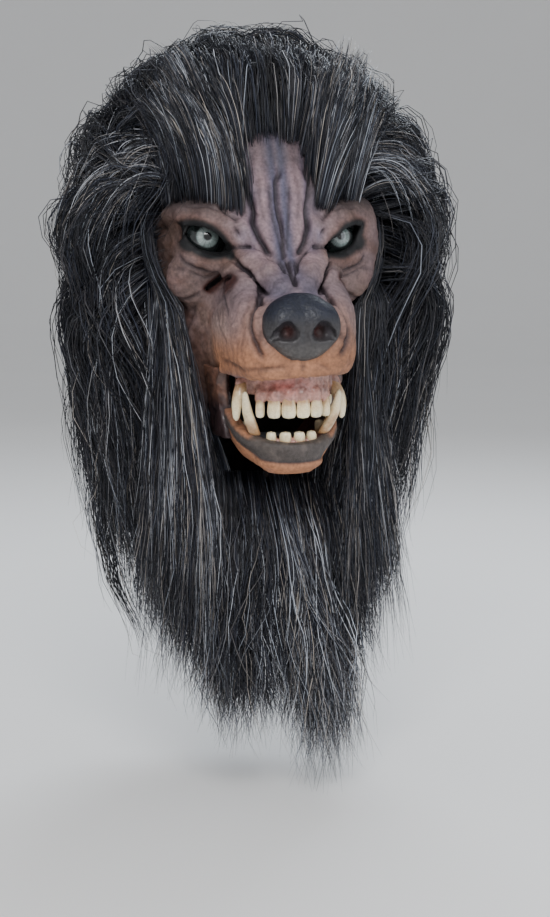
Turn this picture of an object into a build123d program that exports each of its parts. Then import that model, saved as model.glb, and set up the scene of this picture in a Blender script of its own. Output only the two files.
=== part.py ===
# Over-the-head latex wolf mask with a long-haired mane, moving jaw, fixed acrylic eyes and separate teeth.
# Millimetres. +Z is up, the face looks along -Y, and the wearer's left is +X.
# The origin is the flat underside of the crown pad, where the top of the wearer's head sits.
import os

from build123d import *

# Driving dimensions.
WALL = 4.0  # latex thickness of the face, hood and jaw
PAD = 8.0  # foam thickness inside the face and hood
SEAM_Y = 5.0  # ear line, where the face casting meets the hood casting
LIP_Z = -187.0  # lower edge of the upper lip
CHEEK_Z = -262.0  # lower edge of the cheeks beside the jaw
NECK_FRONT_Z = -277.0  # front edge of the hood's neck
NECK_Z = -302.0  # collar
SLOT_X, SLOT_Z = 48.0, -118.0  # vision slots
EYE_X, EYE_Z = 54.0, -86.0  # eyes
EYE_Y = -82.0  # where the eyes' axes cross the face
EYE_R = 16.4
EYE_TURN = 14.0  # each eye looks this many degrees outward of straight ahead
WINDOW_X = 88.5  # half width of the face left free of hair
HAIRLINE_Z = -26.0
BROW_Z = -62.0  # lower edge of the brow hair
BROW_X = 27.0  # half width of the bare strip between the brow hair
BROW_HAIR = 9.0  # thickness of the brow hair
GAP = 0.5  # glue line between the latex and the hair's backing

# Horizontal rings of the head: height, half width, half depth, centre's y.
HEAD_RINGS = [
    (15, 34, 42, 0),
    (0, 59, 72, 0),
    (-35, 79, 95, 0),
    (-85, 88, 105, 0),
    (-140, 85, 101, 0),
    (-195, 77, 88, 3),
    (-245, 69, 72, 8),
    (-302, 68, 68, 10),
]
# Upright rings of the muzzle: y, half width, half height, centre's height.
MUZZLE_RINGS = [
    (-70, 67, 64, -168),
    (-105, 59, 54, -170),
    (-135, 52, 48, -172),
    (-160, 46, 42, -172),
    (-178, 36, 33, -168),
]
# Horizontal rings of the jaw, from the chin up.
JAW_RINGS = [
    (-262, 27, 34, -118),
    (-252, 37, 44, -113),
    (-238, 42, 50, -108),
    (-218, 45, 53, -105),
    (-198, 47, 55, -103),
]
# Horizontal rings of the mane's outer surface.
MANE_RINGS = [
    (98, 50, 52, 22),
    (74, 104, 100, 20),
    (26, 144, 134, 16),
    (-40, 170, 154, 16),
    (-110, 184, 160, 16),
    (-185, 185, 158, 16),
    (-262, 168, 142, 18),
    (-340, 140, 114, 24),
    (-440, 96, 70, 34),
]
# Horizontal rings of the throat hair, from the neck down to its ragged end.
BIB_RINGS = [
    (-291, 78, 36, -76),
    (-340, 90, 42, -82),
    (-400, 84, 38, -84),
    (-470, 74, 28, -84),
    (-530, 52, 14, -84),
]
# Incisors from the middle outwards: x, y, width.
UPPER_INCISORS = [(5.5, -160.0, 10.2), (16.2, -157.5, 9.8), (25.4, -150.5, 7.2)]
LOWER_INCISORS = [(5.3, -148.5, 9.6), (15.6, -145.0, 9.2)]
MANE_FRONT_Y = -104.0
MANE_SPLIT_Y = 42.0  # side manes in front of it, back mane behind
BIG = 700.0


def stack(rings, less=0.0):
    """Solid lofted through horizontal ellipses, each smaller by less."""
    return loft([Pos(0, cy, z) * Ellipse(rx - less, ry - less) for z, rx, ry, cy in rings])


def along_y(rings, less=0.0, extra_front=0.0):
    """Solid lofted through upright ellipses along the muzzle."""
    sections = []
    for y, w, h, zc in rings:
        front = extra_front if y == rings[-1][0] else 0.0
        sections.append(Pos(0, y + front, zc) * Rot(90, 0, 0) * Ellipse(w - less, h - less))
    return loft(sections)


def block(x0, x1, y0, y1, z0, z1):
    """Box between two corners."""
    return Pos((x0 + x1) / 2, (y0 + y1) / 2, (z0 + z1) / 2) * Box(x1 - x0, y1 - y0, z1 - z0)


def above(z):
    return block(-BIG, BIG, -BIG, BIG, z, BIG)


def below(z):
    return block(-BIG, BIG, -BIG, BIG, -BIG, z)


def front_of(y):
    return block(-BIG, BIG, -BIG, y, -BIG, BIG)


def behind(y):
    return block(-BIG, BIG, y, BIG, -BIG, BIG)


def side_of(side, x):
    """Everything further out than x on one side, where side is 1 for the left and -1 for the right."""
    return block(x, BIG, -BIG, BIG, -BIG, BIG) if side > 0 else block(-BIG, -x, -BIG, BIG, -BIG, BIG)


def only(shape):
    """The largest solid of a shape, without boolean crumbs."""
    return max(shape.solids(), key=lambda s: s.volume)


def head_inner(less=0.0):
    """The head's hollow, made smaller by less, with its top under the latex."""
    rings = [(z - (WALL if z > 0 else 0), rx, ry, cy) for z, rx, ry, cy in HEAD_RINGS[:-1]]
    rings.append((NECK_Z - 10, *HEAD_RINGS[-1][1:]))
    return stack(rings, WALL + less)


def eye_axis(side):
    """Frame of an eye: its origin on the face and its +Z pointing out of the mask."""
    return Pos(side * EYE_X, EYE_Y, EYE_Z) * Rot(0, 0, side * EYE_TURN) * Rot(90, 0, 0)


def face_skin(head, hollow):
    """Front half of the head with the muzzle, hollow all through, open below for the jaw."""
    outer = head + along_y(MUZZLE_RINGS)
    inner = hollow + along_y([(y, w, h, z) for y, w, h, z in MUZZLE_RINGS], WALL, WALL)
    shell = (outer - inner) & front_of(SEAM_Y) & above(CHEEK_Z)
    shell -= block(-54, 54, -BIG, -28, -BIG, LIP_Z)
    for side in (1, -1):
        shell -= Pos(side * SLOT_X, -85, SLOT_Z) * Rot(90, 0, 0) * extrude(Ellipse(5, 7), 30, both=True)
        shell -= eye_axis(side) * extrude(Circle(18.6), 24, both=True)
    return only(shell)


def hood_skin(head, hollow):
    """Back half of the head and the whole neck down to the collar."""
    shell = head - hollow
    back = shell & behind(SEAM_Y)
    throat = shell & front_of(SEAM_Y) & below(NECK_FRONT_Z)
    return only(back + throat)


def jaw_skin():
    """Hollow trough of the lower jaw, its rim sloping up to the mouth's corners."""
    rim = Pos(0, -116, -222) * Rot(22, 0, 0) * Pos(0, 0, 60) * Box(200, 260, 120)
    inner = [(z + (WALL + 1 if z == JAW_RINGS[0][0] else 0), *rest) for z, *rest in JAW_RINGS]
    trough = stack(JAW_RINGS) - stack(inner[:-1] + [(-190, *JAW_RINGS[-1][1:])], WALL)
    return only((trough & front_of(-76)) - rim)


def nose_pad():
    """Blunt nose with two blind nostrils, glued to the muzzle's flat front."""
    nose = Pos(0, -174, -151) * scale(Sphere(1), by=(29, 18, 24))
    nose &= front_of(MUZZLE_RINGS[-1][0])
    for side in (1, -1):
        nose -= Pos(side * 13, -190, -155) * Rot(80, 0, -side * 18) * Cone(6.5, 4, 14)
    return only(nose)


def arch(rx, ry, cy, wall, z0, z1, back_y):
    """Horseshoe of gum."""
    ring = Pos(0, cy, z0) * (Ellipse(rx, ry) - Ellipse(rx - wall, ry - wall))
    return extrude(ring, z1 - z0) & front_of(back_y)


def peg(root, tip, width, depth, bend=0.0):
    """Tooth from its root to its tip, tapering, with its middle pushed sideways by bend."""
    root, tip = Vector(*root), Vector(*tip)
    along = tip - root
    out = Vector(root.X, root.Y + 118, 0)
    turn = Vector(0, -1, 0).get_signed_angle(out, Vector(0, 0, 1))
    sections = []
    for share, size in ((0.0, 1.0), (0.35, 0.98), (0.7, 0.72), (1.0, 0.16)):
        at = root + along * share + out.normalized() * (bend * 4 * share * (1 - share))
        sections.append(Pos(at) * Rot(0, 0, turn) * Ellipse(width / 2 * size, depth / 2 * size))
    return loft(sections)


def upper_teeth():
    """Teeth of the upper plate by name."""
    teeth = {}
    for side, word in ((1, "left"), (-1, "right")):
        for n, (x, y, width) in enumerate(UPPER_INCISORS, 1):
            root, tip = (side * x, y, -204), (side * x * 1.02, y - 1, -221)
            teeth[f"upper_incisor_{word}_{n}"] = peg(root, tip, width, 7.0)
        teeth[f"upper_canine_{word}"] = peg((side * 35, -133, -194), (side * 40, -139, -224), 10.5, 11, 2.0)
        teeth[f"upper_premolar_{word}"] = peg((side * 35, -117, -202), (side * 37, -117, -216), 8, 6)
    return teeth


def lower_teeth():
    """Teeth of the lower plate by name."""
    teeth = {}
    for side, word in ((1, "left"), (-1, "right")):
        for n, (x, y, width) in enumerate(LOWER_INCISORS, 1):
            root, tip = (side * x, y, -245), (side * x * 1.02, y - 1, -232.5)
            teeth[f"lower_incisor_{word}_{n}"] = peg(root, tip, width, 6.0)
        teeth[f"lower_canine_{word}"] = peg((side * 26.5, -138, -236), (side * 38, -150, -201), 9.5, 10, 2.0)
        teeth[f"lower_premolar_{word}"] = peg((side * 30, -113, -240), (side * 31, -113, -228), 8, 6)
    return teeth


def eye_dome(side):
    """Acrylic eye: a cap of a sphere on a flat back, with a raised cornea."""
    ball = Pos(0, 0, -9) * Sphere(EYE_R)
    cornea = Pos(0, 0, -1.6) * Sphere(9.6)
    return eye_axis(side) * only((ball + cornea) & above(-4))


def eye_cup(side):
    """Shallow cup that holds an eye from behind and is glued in its socket."""
    cup = Pos(0, 0, -8) * Cylinder(18.2, 8)
    return eye_axis(side) * only(cup - Pos(0, 0, -5) * Cylinder(16.6, 6))


def inner_foam(hollow, region):
    """Foam of even thickness lining the hollow inside a region."""
    return only((hollow - head_inner(PAD)) & region)


def web(side):
    """Thin stretch latex at a mouth corner, between the cheek and the jaw."""
    x0, x1 = sorted((side * 48.6, side * 53.6))
    return block(x0, x1, -112, -74, -236, LIP_Z - 0.4)


def latex_block():
    """Space that the head takes up under the hair, with the wearer's neck and shoulders below the collar."""
    rings = [(z + (GAP if z > 0 else 0), rx, ry, cy) for z, rx, ry, cy in HEAD_RINGS]
    z, rx, ry, cy = HEAD_RINGS[-1]
    neck = extrude(Pos(0, cy, z) * Ellipse(rx + GAP, ry + GAP), -140)
    return stack(rings, -GAP) + neck


def build():
    head, hollow = stack(HEAD_RINGS), head_inner()
    parts = {"face_skin": face_skin(head, hollow), "hood_skin": hood_skin(head, hollow)}
    parts["nose_pad"] = nose_pad()

    parts.update(upper_teeth())
    parts.update(lower_teeth())
    parts["jaw_skin"] = only(jaw_skin() - [parts["lower_canine_left"], parts["lower_canine_right"]])
    upper = arch(38, 47, -116, 11, -209, -182, -104)
    lower = arch(31.5, 40, -110, 9, -251, -238, -96)
    parts["upper_gum"] = only(upper - [s for n, s in parts.items() if n.startswith("upper_")])
    parts["lower_gum"] = only(lower - [s for n, s in parts.items() if n.startswith("lower_")])
    parts["tongue"] = Pos(0, -120, -245) * scale(Sphere(1), by=(19, 18, 7))
    parts["chin_cup"] = extrude(Pos(0, -90, -250) * Ellipse(17, 9), 10)

    for side, word in ((1, "left"), (-1, "right")):
        parts[f"eye_{word}"] = eye_dome(side)
        parts[f"eye_cup_{word}"] = eye_cup(side)
        parts[f"cheek_web_{word}"] = web(side)

    crown = block(-35, 35, -40, 40, 0, 30)
    parts["crown_pad"] = only(crown & hollow)
    parts["forehead_pad"] = inner_foam(hollow, block(-38, 38, -BIG, -40, -64, -22))
    parts["nape_pad"] = inner_foam(hollow, block(-36, 36, 40, BIG, -170, -110))
    for side, word in ((1, "left"), (-1, "right")):
        band = block(-BIG, BIG, -22, 38, -120, -70) & side_of(side, 20)
        parts[f"temple_pad_{word}"] = inner_foam(hollow, band)

    latex = latex_block()
    brow = (stack(HEAD_RINGS, -BROW_HAIR) - latex) & front_of(-30) & above(BROW_Z) & below(HAIRLINE_Z)
    window = block(-WINDOW_X, WINDOW_X, -BIG, -12, -291, HAIRLINE_Z)
    bib = stack(BIB_RINGS)
    mane = (stack(MANE_RINGS) - latex - window) & behind(MANE_FRONT_Y)
    parts["throat_mane"] = only(bib - latex)
    mane -= stack(BIB_RINGS, -GAP)
    parts["crown_mane"] = only(mane & above(HAIRLINE_Z))
    lower_mane = mane & below(HAIRLINE_Z)
    parts["back_mane"] = only(lower_mane & behind(MANE_SPLIT_Y))
    for side, word in ((1, "left"), (-1, "right")):
        parts[f"side_mane_{word}"] = only(lower_mane & front_of(MANE_SPLIT_Y) & side_of(side, 0))
        parts[f"brow_hair_{word}"] = only(brow & side_of(side, BROW_X) - side_of(side, WINDOW_X - GAP))
    return parts


os.makedirs("parts", exist_ok=True)
for name, shape in build().items():
    export_step(shape, f"parts/{name}.step")
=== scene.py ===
"""Looks of the over-the-head wolf mask: sculpted latex, teeth, eyes, foam and a long-haired mane.

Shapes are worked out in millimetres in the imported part's frame and turned into metres when a mesh is made.
The face looks along -Y and the wearer's left is +X. What is the same on both sides is given for the left one.
"""
import math

import bpy
import numpy as np
import openvdb
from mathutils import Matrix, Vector


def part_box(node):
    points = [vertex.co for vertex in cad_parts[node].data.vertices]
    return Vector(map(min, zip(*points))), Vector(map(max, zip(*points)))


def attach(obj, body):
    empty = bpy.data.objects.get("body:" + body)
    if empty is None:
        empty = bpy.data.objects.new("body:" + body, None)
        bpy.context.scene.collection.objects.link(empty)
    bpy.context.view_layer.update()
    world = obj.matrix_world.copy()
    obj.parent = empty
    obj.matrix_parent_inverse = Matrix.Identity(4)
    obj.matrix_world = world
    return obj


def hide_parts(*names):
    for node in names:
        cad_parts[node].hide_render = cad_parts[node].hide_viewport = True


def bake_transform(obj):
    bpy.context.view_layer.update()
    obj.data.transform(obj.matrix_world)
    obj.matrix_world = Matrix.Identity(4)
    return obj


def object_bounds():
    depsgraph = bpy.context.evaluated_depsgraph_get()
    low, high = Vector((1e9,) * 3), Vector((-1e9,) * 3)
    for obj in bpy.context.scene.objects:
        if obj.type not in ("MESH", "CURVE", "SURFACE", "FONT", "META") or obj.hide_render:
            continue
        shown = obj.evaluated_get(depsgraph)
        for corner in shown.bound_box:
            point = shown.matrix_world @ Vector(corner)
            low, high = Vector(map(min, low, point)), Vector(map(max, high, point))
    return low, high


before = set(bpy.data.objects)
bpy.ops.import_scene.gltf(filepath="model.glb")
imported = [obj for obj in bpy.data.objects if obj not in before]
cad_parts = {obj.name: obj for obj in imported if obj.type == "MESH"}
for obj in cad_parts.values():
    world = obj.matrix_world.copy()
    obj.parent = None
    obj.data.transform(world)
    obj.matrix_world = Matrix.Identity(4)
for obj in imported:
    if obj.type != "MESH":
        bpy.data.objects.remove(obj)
cad_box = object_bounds()
MM = 0.001
FULL_TURN = 2 * math.pi
SIDES = ((1, "left"), (-1, "right"))


# ---------------------------------------------------------------- numbers and noise

def through(at, knots, values):
    """Values at the given places on a smooth curve through the knots, level beyond both ends."""
    knots, values = np.asarray(knots, float), np.asarray(values, float)
    at = np.clip(at, knots[0], knots[-1])
    i = np.clip(np.searchsorted(knots, at) - 1, 0, len(knots) - 2)
    slope = np.gradient(values, knots)
    span = knots[i + 1] - knots[i]
    t = (at - knots[i]) / span
    a, b = values[i], values[i + 1]
    return (
        a * (1 + 2 * t) * (1 - t) ** 2
        + slope[i] * span * t * (1 - t) ** 2
        + b * t * t * (3 - 2 * t)
        - slope[i + 1] * span * t * t * (1 - t)
    )


LATTICE = np.random.default_rng(11).random((32, 32, 32)).astype(np.float32)


def noise(points, size):
    """Smooth noise from 0 to 1 with lumps of the given size."""
    q = np.asarray(points, np.float32) / size
    cell = np.floor(q).astype(int)
    f = q - cell
    f = f * f * (3 - 2 * f)
    total = 0.0
    for corner in range(8):
        step = [(corner >> k) & 1 for k in range(3)]
        weight = 1.0
        for k in range(3):
            weight = weight * (f[:, k] if step[k] else 1 - f[:, k])
        i, j, k = (((cell[:, n] + step[n]) % 32) for n in range(3))
        total = total + weight * LATTICE[i, j, k]
    return total


def rough(points, size, octaves=3):
    """Layered noise from about -1 to 1."""
    total = sum((noise(points + 17.3 * n, size / 2**n) - 0.5) / 2**n for n in range(octaves))
    return 2.0 * total


def step01(value, low, high):
    """0 below low, 1 above high, smooth between."""
    t = np.clip((value - low) / (high - low), 0, 1)
    return t * t * (3 - 2 * t)


def bell(value, width):
    """1 at zero, falling off over the width on both sides."""
    return np.exp(-((value / width) ** 2))


def spot(points, centre, radii):
    """1 at a centre, falling to 0 at about the radii."""
    d = (((points - np.asarray(centre, float)) / np.asarray(radii, float)) ** 2).sum(axis=1)
    return np.exp(-1.6 * d)


def unit(v):
    """Unit vectors along the last axis."""
    v = np.asarray(v, float)
    return v / (np.linalg.norm(v, axis=-1, keepdims=True) + 1e-9)


def rows(*columns):
    """Rows from columns, each an array or one number for all rows."""
    return np.stack(np.broadcast_arrays(*columns), axis=1)


# ---------------------------------------------------------------- sculpting with distance fields

def ball(p, centre, radii):
    """Ellipsoid."""
    q = [(p[i] - centre[i]) / radii[i] for i in range(3)]
    k0 = np.sqrt(q[0] ** 2 + q[1] ** 2 + q[2] ** 2) + 1e-6
    k1 = np.sqrt((q[0] / radii[0]) ** 2 + (q[1] / radii[1]) ** 2 + (q[2] / radii[2]) ** 2) + 1e-6
    return k0 * (k0 - 1) / k1


def rod(p, a, b, ra, rb):
    """Round bar from a to b, with a radius at each end."""
    ab = [b[i] - a[i] for i in range(3)]
    size = sum(v * v for v in ab) + 1e-9
    t = sum((p[i] - a[i]) * ab[i] for i in range(3)) / size
    t = np.clip(t, 0, 1)
    far = sum((p[i] - a[i] - ab[i] * t) ** 2 for i in range(3))
    return np.sqrt(far) - (ra + (rb - ra) * t)


def chain(p, beads, soft=3.0):
    """Round bar through beads, each a point and a radius."""
    shape = None
    for (*a, ra), (*b, rb) in zip(beads, beads[1:]):
        piece = rod(p, a, b, ra, rb)
        shape = piece if shape is None else join(shape, piece, soft)
    return shape


def join(a, b, soft):
    """Union with a smooth joint."""
    h = np.maximum(soft - np.abs(a - b), 0) / soft
    return np.minimum(a, b) - h * h * soft / 4


def carve(a, b, soft):
    """a with b taken away, with a smooth edge."""
    return -join(-a, b, soft)


def rings_up(p, rings, power=2.0):
    """Body of horizontal rings: height, half width, half depth, centre's y."""
    rings = sorted(rings)
    z, rx, ry, cy = (np.array(v, float) for v in zip(*rings))
    rx, ry, cy = (through(p[2], z, v) for v in (rx, ry, cy))
    u, v = np.abs(p[0]) / rx, np.abs(p[1] - cy) / ry
    k = (u**power + v**power) ** (1 / power)
    side = (k - 1) * k / np.sqrt((u / rx) ** 2 + (v / ry) ** 2 + 1e-9)
    return np.maximum(side, np.maximum(p[2] - z[-1], z[0] - p[2]))


def rings_along(p, rings, power=2.5, front=16):
    """Body of upright rings along Y: y, half width, highest and lowest z. Its front is rounded."""
    y, w, top, low = (np.array(v, float) for v in zip(*sorted(rings)))
    w, top, low = (through(p[1], y, v) for v in (w, top, low))
    h, mid = (top - low) / 2, (top + low) / 2
    u, v = np.abs(p[0]) / w, np.abs(p[2] - mid) / h
    k = (u**power + v**power) ** (1 / power)
    side = (k - 1) * k / np.sqrt((u / w) ** 2 + (v / h) ** 2 + 1e-9)
    return carve(side, p[1] - y[0], front)


def folded(p):
    """Coordinates with the right side laid over the left."""
    return [np.abs(p[0]), p[1], p[2]]


def grid(low, high, step):
    """Three arrays that span a box."""
    axes = [np.arange(low[i], high[i] + step, step, dtype=np.float32) for i in range(3)]
    return [axes[0][:, None, None], axes[1][None, :, None], axes[2][None, None, :]]


def polygons(field, low, step):
    """Vertices and quads of a field's surface."""
    store = openvdb.FloatGrid(float(step * 3))
    store.copyFromArray(np.ascontiguousarray(np.clip(field, -3 * step, 3 * step), dtype=np.float32))
    points, quads = store.convertToQuads(0.0)
    return points * step + np.array(low), quads


def normals_of(points, faces):
    """Vertex normals."""
    a, b, c = points[faces[:, 0]], points[faces[:, 1]], points[faces[:, 2]]
    flat = np.cross(b - a, c - a)
    if faces.shape[1] == 4:
        flat = np.cross(c - a, points[faces[:, 3]] - b)
    return unit(scatter(faces, flat, len(points)))


def scatter(faces, values, count):
    """Sum of a value of each face at each of its vertices."""
    total = np.zeros((count, 3))
    for k in range(faces.shape[1]):
        for axis in range(3):
            total[:, axis] += np.bincount(faces[:, k], values[:, axis], count)
    return total


def biggest_piece(points, faces):
    """The largest connected surface, without crumbs."""
    label = np.arange(len(points))
    while True:
        low = label[faces].min(axis=1)
        new = label.copy()
        for k in range(faces.shape[1]):
            np.minimum.at(new, faces[:, k], low)
        new = new[new]
        if (new == label).all():
            break
        label = new
    names, counts = np.unique(label, return_counts=True)
    keep = label == names[counts.argmax()]
    order = np.cumsum(keep) - 1
    return points[keep], order[faces[keep[faces[:, 0]]]]


def relax(points, faces, rounds):
    """Smooths a mesh by moving each vertex half way to the middle of its faces."""
    count = np.bincount(faces.ravel(), minlength=len(points))[:, None]
    for _ in range(rounds):
        middle = scatter(faces, points[faces].mean(axis=1), len(points)) / count
        points = points + 0.5 * (middle - points)
    return points


def cast(shape, low, high, step, rounds=2):
    """Smoothed surface of a distance field inside a box: its vertices, quads and vertex normals."""
    points, faces = polygons(shape(grid(low, high, step)), low, step)
    points, faces = biggest_piece(points, faces)
    points = relax(points, faces, rounds)
    return points, faces, normals_of(points, faces)


# ---------------------------------------------------------------- meshes and paint

def wrap(name, mesh):
    """Smooth-shaded object of a mesh."""
    mesh.validate()
    mesh.polygons.foreach_set("use_smooth", np.ones(len(mesh.polygons), bool))
    thing = bpy.data.objects.new(name, mesh)
    bpy.context.collection.objects.link(thing)
    return thing


def make_mesh(name, points, faces):
    """Object of a mesh given in millimetres, whose faces all have the same number of corners."""
    mesh = bpy.data.meshes.new(name)
    points = np.asarray(points, np.float32) * MM
    faces = np.asarray(faces, np.int32)
    mesh.vertices.add(len(points))
    mesh.vertices.foreach_set("co", points.ravel())
    mesh.loops.add(faces.size)
    mesh.loops.foreach_set("vertex_index", faces.ravel())
    mesh.polygons.add(len(faces))
    mesh.polygons.foreach_set("loop_start", np.arange(0, faces.size, faces.shape[1], dtype=np.int32))
    mesh.update(calc_edges=True)
    return wrap(name, mesh)


def make_mixed_mesh(name, points, faces):
    """Object of a mesh given in millimetres, with faces of any size."""
    mesh = bpy.data.meshes.new(name)
    mesh.from_pydata((np.asarray(points) * MM).tolist(), [], faces)
    return wrap(name, mesh)


def tube_faces(rings, sides):
    """Quads of a tube of rings."""
    ring = np.arange(rings - 1)[:, None] * sides
    k = np.arange(sides)[None, :]
    a, b = ring + k, ring + (k + 1) % sides
    return np.stack([a, b, b + sides, a + sides], axis=-1).reshape(-1, 4)


def plain(colour, points):
    """One colour for every vertex."""
    return np.tile(np.array(colour), (len(points), 1))


def coated(colour, *coats):
    """Vertex colours under further coats, each a colour and how much of it each vertex takes."""
    for new, share in coats:
        colour = colour + (np.asarray(new) - colour) * np.clip(share, 0, 1)[:, None]
    return colour


def speckled(colour, points, size, depth):
    """Vertex colours made lighter and darker in specks."""
    return colour * (1 - depth / 2 + depth * noise(points, size))[:, None]


def add_paint(thing, colour):
    """Stores the paint of each vertex."""
    layer = thing.data.color_attributes.new("paint", "FLOAT_COLOR", "POINT")
    rgba = np.ones((len(colour), 4), np.float32)
    rgba[:, :3] = np.clip(colour, 0, 1)
    layer.data.foreach_set("color", rgba.ravel())


def make_painted(name, points, faces, colour, wet):
    """Object of a mesh with its paint, and how wet each vertex looks."""
    thing = make_mesh(name, points, faces)
    add_paint(thing, colour)
    layer = thing.data.attributes.new("wet", "FLOAT", "POINT")
    layer.data.foreach_set("value", np.asarray(wet * np.ones(len(points)), np.float32))
    return thing


def corners(node):
    """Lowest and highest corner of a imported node, in millimetres."""
    low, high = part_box(node)
    return np.array(low) / MM, np.array(high) / MM


# ---------------------------------------------------------------- the face

HEAD = [
    (15, 34, 42, 0),
    (0, 59, 72, 0),
    (-35, 79, 95, 0),
    (-85, 88, 105, 0),
    (-140, 84, 100, 0),
    (-195, 76, 88, 3),
    (-245, 69, 72, 8),
    (-302, 68, 68, 10),
]
MUZZLE = [
    (-180, 32, -143, -197),
    (-172, 40, -137, -202),
    (-158, 43.5, -131, -206),
    (-135, 47, -122, -210),
    (-110, 49, -112, -214),
    (-85, 52, -100, -214),
    (-60, 55, -95, -214),
]
FACE_BOX = (-98, -194, -268), (98, 10, 22)
WALL = 5.0
SEAM_Y = 5.0
CHEEK_Z = -262.0
LIP_Z = -189.5
LIP_SLANT = 0.07
EYE_AT = (54.0, -82.0, -86.0)  # where the left eye's axis crosses the face
EYE_TURN = math.radians(14)
EYE_R = 16.4
EYE_SINK = 9.0
ALMOND = (19.5, 7.6, 9.6, math.radians(28))  # half length, height above and below, tilt
MOUTH_X = 46.5
SLOT = (43.5, 0, -115.5), (53, 0, -125)  # ends of the left vision slot
nose_low, nose_high = corners("nose_pad")
NOSE = (nose_low[1], (nose_low[2] + nose_high[2]) / 2)  # y of its tip, z of its middle
FACE_STEP = 1.3

# Rolls of the sculpt as beads, each a point and a radius. The lip's edge is painted and has points only.
FOREHEAD = [(14, -74, -18, 8), (14, -92, -50, 9), (11, -99, -78, 9), (6, -112, -100, 7)]
BROW = [(18, -108, -91, 8), (34, -102, -81, 8.5), (52, -90, -70, 8), (68, -74, -67, 7), (78, -52, -68, 6)]
BRIDGE = [(0, -104, -98, 14), (0, -124, -118, 13), (0, -148, -138, 17), (0, -164, -148, 21)]
UPPER_LID = [(33, -106, -90, 4), (44, -101, -79, 5.5), (56, -94, -73, 6), (68, -84, -74, 5)]
LOWER_LID = [(36, -102, -101, 4), (50, -95, -105, 5), (64, -85, -100, 5), (72, -77, -92, 4)]
INNER_FOLD = [(33, -107, -97, 5), (26, -118, -104, 8), (16, -134, -113, 9), (9, -150, -122, 7.5)]
OUTER_FOLD = [
    (42, -99, -108, 5), (38, -112, -114, 9), (34, -128, -124, 11),
    (32, -146, -142, 11), (30, -162, -160, 9),
]
LIP = [
    (0, -173, -184, 5.5), (19, -170, -184, 5.5), (31, -161, -184, 5.5),
    (39, -143, -184, 5.5), (44, -116, -186, 5),
]
LIP_EDGE = [(0, -172, -190), (20, -170, -190), (36, -160, -190), (46, -140, -190), (52, -112, -192)]


def nose_at(x, y, z, *radius):
    """Point given from the middle of the nose's tip, and a bead's radius if there is one."""
    tip, middle = NOSE
    return (x, tip + y, middle + z, *radius)


def eye_frame(side):
    """Centre of an eye's ball, and its outward, sideways and upward directions."""
    out = np.array([side * math.sin(EYE_TURN), -math.cos(EYE_TURN), 0])
    across = np.array([math.cos(EYE_TURN) * side, math.sin(EYE_TURN), 0])
    at = np.array([side * EYE_AT[0], EYE_AT[1], EYE_AT[2]])
    return at - out * EYE_SINK, out, across, np.array([0, 0, 1.0])


def almond(p, side):
    """Prism of the eye's opening along the eye's axis."""
    centre, out, across, up = eye_frame(side)
    half, high, low, tilt = ALMOND
    d = [p[i] - centre[i] for i in range(3)]
    u = sum(d[i] * across[i] for i in range(3))
    v = sum(d[i] * up[i] for i in range(3))
    depth = sum(d[i] * out[i] for i in range(3))
    u, v = u * math.cos(tilt) + v * math.sin(tilt), v * math.cos(tilt) - u * math.sin(tilt)
    r_high, r_low = (half**2 + high**2) / (2 * high), (half**2 + low**2) / (2 * low)
    lens = np.maximum(
        np.sqrt(u**2 + (v + r_high - high) ** 2) - r_high,
        np.sqrt(u**2 + (v - r_low + low) ** 2) - r_low,
    )
    return np.maximum(lens, 4 - depth)


def slot(p, inner, outer):
    """Vision slot on both sides, with a radius at each end."""
    return rod([np.abs(p[0]), p[1] * 0, p[2]], *SLOT, inner, outer)


def lip_height(y):
    """Lower edge of the face from the front lip back to the cheeks."""
    depths = [-186, -160, -128, -112, -98, -84, -66, -40, -20]
    return through(y, depths, [-190, -189, -188, -191, -199, -212, -232, -255, -264])


def slanted(p):
    """Height above the lip's slanted line: the front lip is drawn up on the left side."""
    return p[2] - LIP_SLANT * p[0] * step01(-p[1], 110, 140)


def face_base(p):
    """Head and muzzle without their features."""
    return join(rings_up(p, HEAD), rings_along(p, MUZZLE), 16)


def face_field(p):
    """Outside of the face with its brows, folds, cheeks, eyelids and lips."""
    q = folded(p)
    f = face_base(p)
    f = join(f, chain(q, FOREHEAD, 6), 14)
    f = join(f, chain(q, BROW, 6), 11)
    f = join(f, chain(q, BRIDGE, 8), 12)
    # Eye hollow, eyeball bulge, lids and cheek.
    f = carve(f, ball(q, (54, -105, -88), (23, 15, 14)), 8)
    f = join(f, ball(q, eye_frame(1)[0], (EYE_R + 2.6,) * 3), 5)
    f = join(f, chain(q, UPPER_LID, 5), 5)
    f = join(f, chain(q, LOWER_LID, 5), 6)
    f = join(f, ball(q, (62, -72, -116), (22, 15, 20)), 14)
    # Folds from the inner eye corners, and the snarl below them.
    f = join(f, chain(q, INNER_FOLD, 4), 3.5)
    f = join(f, chain(q, OUTER_FOLD, 5), 4)
    f = join(f, ball(q, (37, -124, -152), (16, 36, 30)), 10)
    f = join(f, ball(q, (26, -156, -170), (20, 20, 16)), 9)
    f = join(f, chain([q[0], q[1], slanted(p)], LIP, 4), 4)
    # Uneven casting: the bridge fold and the temple are fuller on the left.
    f = join(f, ball(p, (15, -124, -109), (8, 10, 10)), 5)
    return join(f, ball(p, (78, -50, -88), (17, 28, 34)), 14)


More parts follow.
